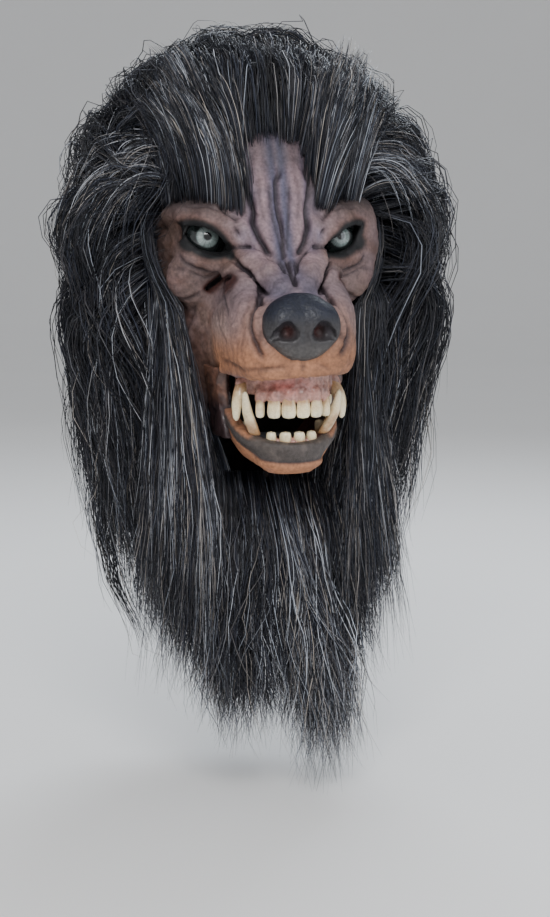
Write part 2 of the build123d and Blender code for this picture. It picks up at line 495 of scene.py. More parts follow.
def face_solid(p):
    """Closed shell of the face, open at the eyes, the slots, the mouth and the back."""
    f = np.maximum(face_field(p), -(face_base(p) + WALL))
    for side, _ in SIDES:
        f = carve(f, almond(p, side), 2.0)
        f = np.maximum(f, -ball(p, eye_frame(side)[0], (EYE_R + 0.3,) * 3))
    f = carve(f, np.maximum(slot(p, 1.6, 2.7), p[1] + 60), 2.5)
    mouth = np.maximum(np.maximum(np.abs(p[0]) - MOUTH_X, p[1] + 28), slanted(p) - LIP_Z)
    f = carve(f, mouth, 3.0)
    f = carve(f, slanted(p) - lip_height(p[1]), 4.0)
    f = np.maximum(f, -ball(p, nose_at(0, 22, 2), (28, 21, 22)))
    return np.maximum(np.maximum(f, p[1] - SEAM_Y), CHEEK_Z - p[2])


# Creases: points, width, depth, and how dark the painted shade in each is.
CREASES = [
    # Forehead and glabella.
    (
        [(27, -98, -26), (28, -102, -44), (23, -106, -62), (21, -110, -78), (15, -116, -92), (7, -121, -104)],
        3.4, 3.6, 0.95,
    ),
    ([(1, -104, -24), (-1, -108, -50), (0, -112, -76), (-1, -118, -98), (-2, -124, -112)], 2.6, 2.2, 0.8),
    ([(8, -104, -40), (7, -108, -60), (4, -114, -86), (2, -119, -102)], 1.7, 1.0, 0.6),
    ([(17, -104, -34), (16, -106, -52), (13, -111, -74)], 1.7, 0.8, 0.35),
    ([(41, -96, -44), (43, -98, -58), (36, -102, -72), (28, -106, -84)], 2.6, 1.8, 0.6),
    # Under the brow and round the eye.
    ([(23, -113, -92), (30, -109, -95), (38, -105, -92)], 2.4, 1.8, 0.75),
    ([(44, -98, -68), (57, -92, -62), (70, -78, -62)], 2.0, 1.0, 0.35),
    ([(34, -104, -106), (46, -98, -112), (60, -91, -110), (74, -78, -98)], 2.4, 1.4, 0.6),
    ([(43, -99, -113), (56, -92, -117), (69, -82, -109)], 1.8, 0.9, 0.4),
    # Bridge folds and the snarl.
    (
        [(35, -108, -103), (29, -119, -112), (22, -132, -122), (17, -146, -132), (16, -154, -134)],
        3.0, 3.4, 0.85,
    ),
    ([(22, -114, -98), (15, -124, -106), (8, -136, -116), (3, -148, -126)], 2.4, 2.6, 0.9),
    (
        [(40, -108, -109), (34, -121, -118), (28, -136, -130)]
        + [(26, -150, -142), (28, -162, -156), (31, -170, -168)],
        3.2, 3.6, 0.85,
    ),
    ([(47, -104, -114), (44, -116, -121), (41, -130, -132), (39, -144, -146)], 2.4, 1.4, 0.5),
    ([(54, -102, -130), (53, -116, -140), (50, -132, -154), (46, -146, -166)], 2.4, 1.0, 0.35),
    ([(6, -128, -106), (3, -133, -113), (9, -138, -114)], 2.0, 1.4, 0.6),
    ([(0, -122, -106), (0, -136, -114), (0, -150, -124), (0, -160, -129)], 2.8, 3.6, 0.95),
    (
        [(27, -148, -130), (30, -158, -140), (31.5, -163, -152), (31, -168, -164), (26, -172, -174)],
        2.8, 3.0, 0.8,
    ),
    # Muzzle side and lip.
    ([(57, -94, -136), (59, -102, -154), (57, -108, -170), (54, -112, -184)], 3.0, 1.6, 0.55),
    ([(0, -174, -178), (0, -175, -184), (0, -173, -189)], 2.2, 1.2, 0.5),
    (
        [(10, -174, -179), (24, -170, -179), (38, -158, -178), (47, -138, -178), (51, -118, -180)],
        2.4, 1.2, 0.45,
    ),
    # Cheek.
    ([(58, -88, -128), (68, -80, -134), (78, -64, -128)], 2.4, 1.2, 0.5),
    ([(62, -80, -140), (70, -72, -150), (73, -60, -164)], 2.4, 1.0, 0.4),
    ([(66, -84, -108), (76, -70, -112), (82, -52, -106)], 2.0, 0.9, 0.4),
]


def strokes():
    """Each crease, and its mirror image when it is off the middle."""
    for points, *rest in CREASES:
        yield (points, *rest)
        if max(abs(x) for x, *_ in points) > 2.5:
            yield ([(-x, y, z) for x, y, z in points], *rest)


def dense(points, gap=1.5):
    """Points along a smooth curve through the given ones, about gap apart."""
    points = np.asarray(points, float)
    along = np.concatenate(([0], np.cumsum(np.linalg.norm(np.diff(points, axis=0), axis=1))))
    at = np.linspace(0, along[-1], max(3, int(along[-1] / gap)))
    return np.stack([through(at, along, points[:, i]) for i in range(3)], axis=1)


def on_surface(line, points):
    """Moves each point of a line to the nearest vertex, then evens the line out."""
    near = np.array([points[((points - q) ** 2).sum(axis=1).argmin()] for q in line])
    for _ in range(3):
        near[1:-1] = (near[:-2] + 2 * near[1:-1] + near[2:]) / 4
    return near


def closeness(points, line, reach):
    """Distance of each point to a line, up to reach, and how far along the line that is."""
    low, high = line.min(axis=0) - reach, line.max(axis=0) + reach
    inside = np.flatnonzero(((points > low) & (points < high)).all(axis=1))
    far = np.full(len(points), float(reach))
    where = np.zeros(len(points))
    for chunk in np.array_split(inside, max(1, len(inside) * len(line) // 4000000 + 1)):
        if len(chunk) == 0:
            continue
        d = ((points[chunk][:, None, :] - line[None, :, :]) ** 2).sum(axis=2)
        best = d.argmin(axis=1)
        far[chunk] = np.minimum(np.sqrt(d[np.arange(len(chunk)), best]), reach)
        where[chunk] = best / max(1, len(line) - 1)
    return far, where


TAN = (0.235, 0.15, 0.125)
PINK = (0.275, 0.185, 0.185)
ROSE = (0.30, 0.20, 0.225)
PALE_PINK = (0.40, 0.28, 0.25)
MAUVE = (0.14, 0.105, 0.13)
SLATE = (0.075, 0.08, 0.14)
LAVENDER = (0.28, 0.25, 0.34)
ORANGE = (0.41, 0.18, 0.09)
BROWN = (0.15, 0.07, 0.048)
RUSSET = (0.20, 0.075, 0.055)
WOUND = (0.05, 0.015, 0.012)
STUBBLE = (0.03, 0.027, 0.03)
BARE_LATEX = (0.35, 0.27, 0.18)
PAINTED_SHADE = (0.018, 0.012, 0.018)
BLACK = (0.005, 0.005, 0.006)


def make_face():
    """Face casting with its creases cut and its paint laid on."""
    points, faces, normal = cast(face_solid, *FACE_BOX, FACE_STEP)
    outside = face_base(points.T) > -WALL + 1.5
    move = 0.9 * rough(points, 16) + 0.35 * rough(points + 50, 6)
    crease_shade = np.zeros(len(points))
    wobble = 0.75 + 0.5 * noise(points, 7)
    for line, width, depth, dark in strokes():
        far, where = closeness(points, on_surface(dense(line), points[outside]), width * 4)
        fade = step01(where, 0, 0.12) * step01(1 - where, 0, 0.12)
        groove = bell(far, width * 0.55) * fade * wobble
        bank = bell(far - width * 1.5, width * 0.9) * fade
        move += -depth * groove + 0.38 * depth * bank
        # Each crease also gets painted shade along its groove.
        crease_shade = np.maximum(crease_shade, dark * bell(far, width * 0.85) * fade)
    wrinkle = fine_wrinkles(points)
    move += 0.22 * wrinkle
    points = points + normal * (move * outside)[:, None]
    colour = face_paint(points, crease_shade, wrinkle)
    colour = coated(colour, (BARE_LATEX, 1.0 - outside))
    wet = 0.35 * step01(-points[:, 2], 170, 186) * step01(-points[:, 1], 90, 120)
    return make_painted("face_sculpt", points, faces, colour, wet)


def fine_wrinkles(points):
    """Small skin lines that run along the forehead and across the muzzle."""
    warp = rough(points, 12)
    x, y, z = points.T
    up = np.sin(x * 0.75 + 2.4 * warp) * step01(z, -100, -50)
    round_muzzle = np.sin(y * 0.8 + 3.0 * warp) * step01(-y, 100, 118) * step01(-z, 96, 118)
    cheek = np.sin((z + 0.6 * np.abs(x)) * 0.7 + 3 * warp) * step01(np.abs(x), 40, 60)
    return (up + round_muzzle + 0.6 * cheek) * (0.4 + noise(points, 9))


def face_paint(points, crease_shade, wrinkle):
    """Colours of the face: tan cheeks, mauve bridge, slate streaks, orange lip, black eye rims, painted shade
    in the creases and low on the face.
    """
    ax = np.abs(points[:, 0])
    x, y, z = points.T
    mirror = rows(ax, y, z)
    patchy = step01(rough(points + 3, 8), 0.05, 0.6)
    colour = coated(
        plain(TAN, points),
        (PINK, 0.5 + 0.7 * rough(points, 26)),
        (BROWN, 0.6 * step01(rough(points + 9, 14), 0.0, 0.8) * step01(ax, 38, 54) * step01(-z, 66, 90)),
        # Forehead.
        (ROSE, 0.75 * step01(-ax, -34, -22) * step01(z, -112, -96)),
        (MAUVE, 0.6 * spot(mirror, (28, -102, -86), (16, 20, 22))),
        (MAUVE, 0.3 * patchy * step01(-ax, -40, -24) * step01(z, -130, -110)),
        (SLATE, 0.85 * bell(ax - 4, 5.0) * step01(z, -124, -108)),
        (SLATE, 0.5 * bell(ax - 22, 3.5) * step01(z, -96, -80)),
        (LAVENDER, 0.9 * spot(mirror, (33, -99, -54), (8, 14, 15))),
        (LAVENDER, 0.6 * spot(mirror, (30, -106, -84), (6, 10, 8))),
        # Bridge.
        (MAUVE, 0.85 * spot(mirror, (10, -144, -122), (26, 44, 22))),
        (PINK, 0.6 * spot(mirror, (24, -124, -106), (6, 14, 8))),
        (SLATE, 0.6 * spot(mirror, (12, -156, -128), (20, 20, 12))),
        (MAUVE, 0.75 * spot(mirror, (40, -128, -132), (22, 44, 24))),
        (PALE_PINK, 0.9 * spot(mirror, (50, -122, -160), (16, 36, 22))),
    )
    colour *= (1 - 0.36 * step01(ax, 34, 50) * step01(z, -150, -122))[:, None]
    colour = coated(
        colour,
        (SLATE, 0.55 * spot(mirror, (8, -140, -118), (13, 20, 9))),
        (SLATE, 0.45 * spot(mirror, (25, -112, -96), (8, 12, 7))),
        (RUSSET, 0.6 * spot(mirror, (74, -70, -118), (9, 14, 10))),
        # Lip and lower cheek.
        (ORANGE, 0.95 * step01(-z, 148, 176) * step01(-y, 78, 108)),
        (ORANGE, 0.6 * spot(mirror, (32, -162, -158), (16, 24, 26))),
        (BROWN, 0.18 * step01(rough(points + 70, 9), 0.1, 0.8) * step01(-z, 120, 150)),
        # Painted shadow: the lower face beside the jaw gets darker towards the bottom.
        (PAINTED_SHADE, 0.8 * step01(-z, 198, 222) * step01(y, -118, -100)),
        (MAUVE, 0.8 * bell(chain([ax, y, z], [(*at, 0.1) for at in LIP_EDGE], 1), 3.0)),
    )
    for side, _ in SIDES:
        lens = almond(points.T, side)
        canthus = np.linalg.norm((points - (side * 36, -100, -98)) / (9, 12, 6), axis=1)
        outer = np.linalg.norm((points - (side * 65, -84, -89)) / (12, 16, 9), axis=1)
        liner = np.maximum(step01(-lens, -7.5, -3.0), step01(-np.minimum(canthus, outer), -1.3, -0.7))
        colour = coated(colour, (BROWN, 0.8 * bell(lens, 9.0)), (BLACK, liner))
    stubble = np.maximum(step01(z, -72, -54) * step01(ax, 22, 32), 0.6 * step01(z, -44, -22))
    colour = coated(
        colour,
        (WOUND, bell(np.maximum(slot(points.T, 2.2, 3.0), 0), 2.2) * (y < -60)),
        (STUBBLE, 0.8 * stubble),
    )
    colour *= (0.86 - 0.22 * step01(x, 10, 34) * step01(-z, 140, 165))[:, None]
    # Painted shade: the creases and the troughs of the fine wrinkles are darkened.
    colour = coated(colour, (PAINTED_SHADE, 1.15 * crease_shade), (PAINTED_SHADE, 0.22 * np.clip(-wrinkle, 0, 1)))
    return speckled(colour, points, 3.0, 0.18)


# ---------------------------------------------------------------- nose, jaw, gums and tongue

NOSTRIL = [nose_at(*at) for at in ((10, 2, -4, 4.6), (14, 2, -2, 6.6), (20, 6, -4, 3.4), (23.5, 9, -7, 1.6))]
NOSTRIL_SHADE = [nose_at(*at) for at in ((10, 3, -4, 3.6), (14, 4, -2, 5.4), (20, 8, -4, 2.6))]
NOSE_GREY = (0.034, 0.031, 0.033)
NOSE_TOP = (0.006, 0.008, 0.018)
NOSE_UNDER = (0.075, 0.068, 0.064)
NOSTRIL_RED = (0.11, 0.035, 0.03)
JAW = [
    (-262, 21, 29, -120),
    (-254, 31, 40, -114),
    (-240, 39.5, 49.5, -109),
    (-218, 43, 52.5, -105.5),
    (-198, 44.5, 54.5, -103),
]
JAW_BOX = (-58, -172, -272), (58, -70, -196)
JAW_WALL = 5.0
JAW_MIDDLE = (0, -106, -235)
JAW_BACK = -76
LOWER_LIP = (38.5, 46.5, -108)  # half width, reach to the front, y of its middle
LIP_GREY = (0.060, 0.048, 0.043)
LIP_WORN = (0.10, 0.08, 0.07)
MOUTH_RED = (0.10, 0.035, 0.03)
GUM_TAN = (0.47, 0.25, 0.20)
GUM_RED = (0.52, 0.13, 0.11)
GUM_BROWN = (0.24, 0.14, 0.12)
GUM_PALE = (0.42, 0.30, 0.24)
MOUTH_BACK_SHADE = (0.06, 0.02, 0.018)
TONGUE_RED = (0.25, 0.10, 0.085)
TONGUE_DARK = (0.14, 0.05, 0.045)


def nose_field(p):
    """Nose with comma-shaped nostrils and a groove below its tip."""
    q = folded(p)
    f = ball(p, nose_at(0, 22, 3), (29, 19, 23))
    f = join(f, ball(q, nose_at(14, 13, 1), (15, 12, 17)), 7)
    f = join(f, ball(p, nose_at(0, 14, -10), (20, 11, 15)), 6)
    f = carve(f, chain(q, NOSTRIL, 3), 3)
    f = carve(f, ball(q, nose_at(13, 6, -3), (5, 9, 5)), 3)
    return carve(f, rod(p, nose_at(0, 1, -4), nose_at(0, 2, -30), 1.0, 1.6), 4)


def make_nose():
    """Leathery nose, darker on top and red inside the nostrils."""
    points, faces, normal = cast(nose_field, nose_at(-36, -4, -34), nose_at(36, 34, 34), 0.7)
    tip, middle = NOSE
    front = step01(-points[:, 1], -tip - 24, -tip - 14)
    pebble = np.abs(rough(points, 2.2, 2))
    points = points + normal * (0.28 * (0.35 - pebble) * front + 0.4 * rough(points, 9))[:, None]
    mirror = folded(points.T)
    z = points[:, 2]
    colour = coated(
        plain(NOSE_GREY, points),
        (NOSE_TOP, step01(z, middle - 1, middle + 13)),
        (NOSE_UNDER, 0.85 * step01(-z, -middle + 6, -middle + 20)),
        (PAINTED_SHADE, step01(-chain(mirror, NOSTRIL_SHADE, 3), -1.5, 1.5)),
        (NOSTRIL_RED, 0.8 * spot(np.stack(mirror, axis=1), nose_at(11, 12, -2), (5, 7, 5))),
    )
    return make_painted("nose_sculpt", points, faces, speckled(colour, points, 1.6, 0.4), 0.3)


def rim_height(y):
    """Upper edge of the lower lip, from the front back to the mouth's corners."""
    return through(y, [-165, -154, -134, -112, -92, -76], [-241.5, -240.5, -233, -221.5, -212, -206])


def lip_line(count, down):
    """Points from one end of the lower lip to the other, some way below its edge."""
    half, reach, middle = LOWER_LIP
    angles = np.radians(np.linspace(-100, 100, count))
    x, y = half * np.sin(angles), middle - reach * np.cos(angles)
    return rows(x, y, rim_height(y) - down)


def jaw_field(p):
    """Hollow lower jaw with a rolled lip and a chin."""
    outer = join(rings_up(p, JAW, 2.2), ball(p, (0, -143, -256), (25, 15, 9)), 8)
    inner = [(z + JAW_WALL, rx - JAW_WALL, ry - JAW_WALL, cy) for z, rx, ry, cy in JAW]
    inner[-1] = (-180, *inner[-1][1:])
    f = np.maximum(outer, -rings_up(p, inner, 2.2))
    f = carve(f, rim_height(p[1]) - 1.0 - p[2], 2.0)
    f = join(f, chain(p, [(*at, 4.8) for at in lip_line(25, 5.0)], 1.5), 4.5)
    return np.maximum(f, p[1] - JAW_BACK)


def make_jaw():
    """Lower jaw: grey rolled lip with a groove under it, tan chin, wet inside."""
    points, faces, normal = cast(jaw_field, *JAW_BOX, 1.1)
    far, _ = closeness(points, dense(lip_line(40, 7.0), 1.0), 18)
    outward = (normal * (points - np.array(JAW_MIDDLE))).sum(axis=1) > 0
    under = points[:, 2] < rim_height(points[:, 1]) - 9
    groove = bell(far - 9.0, 1.5) * outward * under * step01(-np.abs(points[:, 0]), -34, -24)
    angle = np.arctan2(points[:, 0], LOWER_LIP[2] - points[:, 1])
    lines = np.sin(angle * 46 + 2.5 * rough(points, 8)) * bell(far, 6)
    move = 0.4 * rough(points, 14) + 0.15 * rough(points + 40, 5) - 1.1 * groove + 0.15 * lines
    points = points + normal * move[:, None]
    reach = 9.2 - 2.4 * step01(np.abs(points[:, 0]), 20, 36)
    lip = step01(reach - far, -0.9, 0.9)
    inside = 1.0 * ~outward * (far > 7.5)
    colour = coated(
        plain(ORANGE, points),
        (PINK, 0.25 * step01(rough(points, 16), 0, 0.7)),
        (BROWN, 0.6 * step01(points[:, 1], -130, -95)),
        (LIP_GREY, lip),
        (LIP_WORN, lip * step01(rough(points, 7), 0.0, 0.6) * 0.6),
        # Painted shade in the groove under the lip.
        (PAINTED_SHADE, 0.6 * groove),
        (MOUTH_RED, inside),
    )
    wet = np.clip(0.45 * lip + 0.9 * inside, 0, 1)
    return make_painted("jaw_sculpt", points, faces, speckled(colour, points, 2.5, 0.2), wet)


def horseshoe(p, rx, ry, cy, wall, z0, z1, back, edge=4):
    """Horseshoe between two heights, with rounded edges."""
    u, v = p[0] / (rx - wall / 2), (p[1] - cy) / (ry - wall / 2)
    k = np.sqrt(u * u + v * v)
    side = np.abs((k - 1) * k / np.sqrt((u / rx) ** 2 + (v / ry) ** 2 + 1e-9))
    high = np.abs(p[2] - (z0 + z1) / 2) - (z1 - z0) / 2 + edge
    f = np.sqrt(np.maximum(side - wall / 2 + edge, 0) ** 2 + np.maximum(high, 0) ** 2) - edge
    return np.maximum(f, p[1] - back)


def gum_roots(word):
    """Middle and width of each packed tooth of one gum, and whether it is a canine."""
    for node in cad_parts:
        if node.startswith(word) and not node.endswith("gum"):
            lo, hi = corners(node)
            yield (lo[0] + hi[0]) / 2, (lo[1] + hi[1]) / 2, hi[0] - lo[0], "canine" in node


def make_gum(word):
    """Wet gum with a swelling round each tooth. The upper one has a ribbed palate, the lower one a floor."""
    lo, hi = corners(f"{word}_gum")
    rx, front, back = hi[0], lo[1], hi[1]
    upper = word == "upper"
    cy, wall, root_z, canine_z = (-116, 11, -204, -198) if upper else (-110, 9, -243, -243)
    bottom, top = (lo[2] + 5, hi[2]) if upper else (lo[2], hi[2] - 4)

    def shape(p):
        f = horseshoe(p, rx, cy - front, cy, wall, bottom, top, back)
        for x, y, width, canine in gum_roots(word):
            root = (x * 0.97, y + 1.5, canine_z if canine else root_z)
            f = join(f, ball(p, root, (min(width, 10) / 2 + 1.0, 5.5, 8)), 3)
        if upper:
            palate = ball(p, (0, cy, hi[2] - 5), (rx - 6, cy - front - 6, 4.5))
            return np.maximum(join(f, palate, 4), p[1] - back)
        return join(f, ball(p, (0, -112, lo[2] + 2), (22, 30, 4)), 4)

    box = (-rx - 8, front - 8, lo[2] - 8), (rx + 8, back + 4, hi[2] + 8)
    points, faces, normal = cast(shape, *box, 0.8, 1)
    ribs = np.sin(points[:, 1] * 0.9 + 0.05 * points[:, 0] ** 2 / 10) * (np.abs(points[:, 0]) < 24) * upper
    points = points + normal * (0.5 * rough(points, 6) + 0.2 * rough(points, 2.5) + 0.25 * ribs)[:, None]
    z = points[:, 2]
    colour = coated(
        plain(GUM_TAN, points),
        (GUM_RED, 0.8 * spot(points, (-6, front + 4, -196), (24, 14, 9))),
        (GUM_BROWN, 0.55 * step01(rough(points + 31, 9), 0.05, 0.7)),
        # Painted shade: the gums get darker towards the back of the mouth.
        (MOUTH_BACK_SHADE, 0.85 * step01(points[:, 1], cy - 20, cy + 10)),
        (GUM_PALE, 0.35 * (step01(-z, 206, 212) if upper else step01(z, -238, -234))),
    )
    return make_painted(f"{word}_gum_sculpt", points, faces, speckled(colour, points, 2, 0.3), 1)


def make_tongue():
    """Tongue with a groove and a rough top."""
    lo, hi = corners("tongue")
    middle = (lo + hi) / 2

    def shape(p):
        f = ball(p, (0, middle[1], middle[2] - 1), (hi[0] - 1, (hi[1] - lo[1]) / 2, 6.5))
        return carve(f, rod(p, (0, lo[1] - 4, hi[2] + 1.2), (0, hi[1], hi[2] + 1.6), 1.4, 2.0), 5)

    points, faces, normal = cast(shape, lo - 4, hi + 4, 0.8)
    points = points + normal * (0.35 * np.abs(rough(points, 1.8, 2)) + 0.3 * rough(points, 8))[:, None]
    colour = coated(plain(TONGUE_RED, points), (TONGUE_DARK, step01(rough(points, 6), 0, 0.7)))
    return make_painted("tongue_sculpt", points, faces, colour, 1)


# ---------------------------------------------------------------- teeth and eyes

CANINE = [0, 0.3, 0.55, 0.75, 0.88, 0.96, 1.0], [0.92, 1.0, 0.86, 0.66, 0.5, 0.36, 0.14]  # height, thickness
PEG = [0, 0.25, 0.55, 0.8, 0.92, 0.98, 1.0], [0.80, 0.90, 1.0, 0.98, 0.84, 0.58, 0.16]
TOOTH_RINGS, TOOTH_SIDES = 22, 20
IVORY = (0.82, 0.68, 0.42)
ROOT = (0.42, 0.22, 0.10)
TIP = (0.92, 0.84, 0.62)
EYE_RINGS, EYE_SIDES = 70, 120
IRIS = (0.20, 0.245, 0.235)
IRIS_HIGHLIGHT = (0.58, 0.64, 0.62)
EYE_DARK = (0.012, 0.015, 0.015)
EYE_SMOKE = (0.06, 0.08, 0.075)


def name_number(text):
    """Small number that depends on a name, the same in every run."""
    return sum((i + 3) * ord(c) for i, c in enumerate(text)) % 211


def make_tooth(node):
    """Tooth in its packed place: a curved cone for a canine, a rounded peg for the rest."""
    lo, hi = corners(node)
    upper, canine = node.startswith("upper"), "canine" in node
    side = 1 if "left" in node else -1
    root_z, tip_z = (hi[2], lo[2]) if upper else (lo[2], hi[2])
    middle = (lo + hi) / 2
    if canine:
        width, depth = (10.5, 11.0) if upper else (9.4, 9.8)
        near, far = (lo[0], hi[0]) if side > 0 else (hi[0], lo[0])
        root = np.array((near + side * width / 2, hi[1] - depth / 2, root_z))
        tip = np.array((far - side * 2.6, lo[1] + 3.0, tip_z))
    else:
        width, depth = min(hi[0] - lo[0], 10.4) * (1.08 if upper and "3" not in node else 0.94), 7.6
        root = np.array((middle[0], middle[1], root_z))
        tip = np.array((middle[0] * 1.01, middle[1], tip_z))
    seed = name_number(node)
    share = 1 - (1 - np.linspace(0, 1, TOOTH_RINGS)) ** 1.5
    size = through(share, *(CANINE if canine else PEG))
    bend = np.array((side * 1.0, -0.8, 0)) * (2.2 if canine else 0.3)
    spine = root + (tip - root) * share[:, None] + bend * (4 * share * (1 - share))[:, None]
    facing = unit((middle[0], middle[1] + 118, 0))
    across = np.array((-facing[1], facing[0], 0))
    turn = (np.arange(TOOTH_SIDES) / TOOTH_SIDES * FULL_TURN)[None, :, None]
    around = np.cos(turn) * across * width / 2 + np.sin(turn) * facing * depth / 2
    points = spine[:, None, :] + around * size[:, None, None]
    wear = rough(points.reshape(-1, 3) + seed, 5).reshape(TOOTH_RINGS, TOOTH_SIDES, 1)
    points = points + 0.28 * wear * unit(around) * np.minimum(1, size * 2)[:, None, None]
    points = np.concatenate([points.reshape(-1, 3), [spine[0]], [spine[-1] + unit(tip - root) * 0.4]])
    count = TOOTH_RINGS * TOOTH_SIDES
    last = count - TOOTH_SIDES
    pairs = [(k, (k + 1) % TOOTH_SIDES) for k in range(TOOTH_SIDES)]
    faces = tube_faces(TOOTH_RINGS, TOOTH_SIDES)[:, ::-1].tolist()
    faces += [(a, b, count) for a, b in pairs]
    faces += [(last + b, last + a, count + 1) for a, b in pairs]
    thing = make_mixed_mesh(node + "_tooth", points, faces)
    along = np.concatenate([np.repeat(share, TOOTH_SIDES), [0, 1]])
    stain = step01(0.62 - along + 0.2 * rough(points + seed, 4), 0, 0.5)
    streak = noise(points * np.array((1, 1, 0.15)) + seed, 1.3)
    colour = coated(plain(IVORY, points), (ROOT, 0.9 * stain), (TIP, 0.5 * step01(along, 0.5, 1.0)))
    add_paint(thing, colour * (0.86 + 0.24 * streak)[:, None])
    finer = thing.modifiers.new("round", "SUBSURF")
    finer.levels = finer.render_levels = 1
    return thing


def make_eye(side, word):
    """Acrylic eye: dark rim, light grey-green iris with streaks and a painted highlight on one side, small
    pupil, under a raised cornea.
    """
    centre, out, across, up = eye_frame(side)
    polar = np.linspace(0.0, math.radians(74), EYE_RINGS)
    turn = np.arange(EYE_SIDES) / EYE_SIDES * FULL_TURN
    radius = EYE_R + 0.9 * np.exp(-((polar / math.radians(24)) ** 4))
    gaze = unit(out + across * -0.12 + up * 0.10)
    right = unit(np.cross(up, gaze))
    top = np.cross(gaze, right)
    ring = np.cos(turn)[None, :, None] * right + np.sin(turn)[None, :, None] * top
    polar_row = polar[:, None, None]
    points = centre + radius[:, None, None] * (np.cos(polar_row) * gaze + np.sin(polar_row) * ring)
    points[0] = points[0].mean(axis=0)
    back = centre + 0.15 * (points[-1] - centre)
    points = np.concatenate([points, back[None]]).reshape(-1, 3)
    base = range(EYE_RINGS * EYE_SIDES, (EYE_RINGS + 1) * EYE_SIDES)
    faces = tube_faces(EYE_RINGS + 1, EYE_SIDES).tolist() + [tuple(base)]
    thing = make_mixed_mesh(f"eye_{word}_acrylic", points, faces)
    angle = np.concatenate([np.repeat(np.degrees(polar), EYE_SIDES), np.full(EYE_SIDES, 90.0)])
    around = np.tile(turn, EYE_RINGS + 1)
    streak = 0.5 + 0.5 * np.sin(around * 37 + 3 * np.sin(around * 11 + side)) * np.sin(around * 13 + 1.7)
    # Painted highlight: the iris streaks are made light in a ring on one side of the iris.
    streak_highlight = bell(angle - 20, 7) * streak * step01(np.sin(around - 0.9), -0.2, 1)
    smoke = step01(rough(points, 7), 0.1, 0.6) * step01(angle, 38, 48)
    colour = coated(
        plain(IRIS, points) * (0.55 + 0.75 * streak)[:, None],
        (IRIS_HIGHLIGHT, 0.8 * streak_highlight),
        (EYE_DARK, step01(angle, 27, 35)),
        (BLACK, 1 - step01(angle, 8.5, 13.5)),
        (EYE_SMOKE, 0.4 * smoke),
    )
    add_paint(thing, colour)
    return thing


# ---------------------------------------------------------------- foam and cheek webs

WEB_BOX = (20, -122, -244), (64, -66, -180)
WEB_ROLL = [(46, -113, -188, 3.8), (45, -107, -198, 4.2), (42.5, -103, -209, 4.4), (40, -101, -220, 4.4)]
WEB_INSIDE = (0.030, 0.017, 0.016)
WEB_TAN = (0.17, 0.082, 0.056)
WEB_STAIN = (0.05, 0.028, 0.024)


def make_foam(node):
    """Foam pad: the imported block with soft, slightly swollen edges and an uneven skin."""
    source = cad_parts[node]
    thing = bpy.data.objects.new(node + "_foam", source.data.copy())
    bpy.context.collection.objects.link(thing)
    thing.matrix_world = source.matrix_world
    thing.data.materials.clear()
    remesh = thing.modifiers.new("remesh", "REMESH")
    remesh.mode = "VOXEL"
    remesh.voxel_size = 0.0015
    soften = thing.modifiers.new("soften", "SMOOTH")
    soften.factor, soften.iterations = 0.5, 6
    graph = bpy.context.evaluated_depsgraph_get()
    mesh = bpy.data.meshes.new_from_object(thing.evaluated_get(graph))
    thing.modifiers.clear()
    thing.data = mesh
    points = read_vertices(mesh, "co") / MM
    swell = 0.25 * rough(points, 9) + 0.12 * rough(points, 2.5)
    points = points + read_vertices(mesh, "normal") * swell[:, None]
    mesh.vertices.foreach_set("co", (points * MM).astype(np.float32).ravel())
    mesh.polygons.foreach_set("use_smooth", np.ones(len(mesh.polygons), bool))
    return thing


def read_vertices(mesh, name):
    """One vector of each vertex of a mesh."""
    flat = np.zeros(len(mesh.vertices) * 3, np.float32)
    mesh.vertices.foreach_get(name, flat)
    return flat.reshape(-1, 3)


def web_field(p):
    """Curved sheet at the left mouth corner with a roll along its front edge."""
    edge = through(p[2], [-244, -232, -214, -198, -184], [-110, -106, -101, -106, -112])
    middle = through(p[2], [-244, -230, -212, -196, -184], [45, 46.5, 48.5, 50.5, 52.5])
    bow = -0.0030 * (p[1] + 70) ** 2
    f = np.abs(p[0] - middle - bow) - 2.6
    f = np.maximum(f, np.maximum(edge - p[1], p[1] + 70))
    f = np.maximum(f, np.maximum(p[2] + 186, -242 - p[2]))
    return join(f, chain(p, WEB_ROLL, 4), 4)


def make_web(side, word):
    """Stretch latex at a mouth corner: tan outside, dark and wet inside, folded where it creases, with
    painted shadow low down.
    """
    points, faces, normal = cast(web_field, *WEB_BOX, 0.9, 3)
    folds = np.sin(points[:, 2] * 0.42 + 0.2 * points[:, 1] + 3.5 * rough(points, 12))
    points = points + normal * (0.4 * folds + 0.3 * rough(points, 9))[:, None]
    outer = step01(normal[:, 0], -0.35, 0.2)
    colour = coated(
        plain(WEB_INSIDE, points),
        (WEB_TAN, outer),
        (WEB_STAIN, 0.7 * outer * step01(rough(points, 7), -0.1, 0.6)),
        # Painted shadow: the web gets darker towards the bottom.
        (PAINTED_SHADE, 0.85 * step01(-points[:, 2], 203, 220)),
    )
    if side < 0:
        points[:, 0] *= -1
        faces = faces[:, ::-1]
    return make_painted(f"cheek_web_{word}_latex", points, faces, colour, 0.9 - 0.9 * outer)


# ---------------------------------------------------------------- materials

def new_material(name):
    """Material with its node tree and its shader node."""
    material = bpy.data.materials.new(name)
    material.use_nodes = True
    return material, material.node_tree, material.node_tree.nodes["Principled BSDF"]


def set_inputs(shader, **values):
    """Constant inputs of a shader. An underscore in a name stands for a space."""
    for name, value in values.items():
        shader.inputs[name.replace("_", " ")].default_value = value


def texture(tree, kind, scale, detail=3.0):
    """Noise or Voronoi texture in object space."""
    where = tree.nodes.new("ShaderNodeTexCoord")
    node = tree.nodes.new("ShaderNodeTex" + kind)
    node.inputs["Scale"].default_value = scale
    node.inputs["Detail"].default_value = detail
    tree.links.new(where.outputs["Object"], node.inputs["Vector"])
    return node.outputs["Distance" if kind == "Voronoi" else "Fac"]


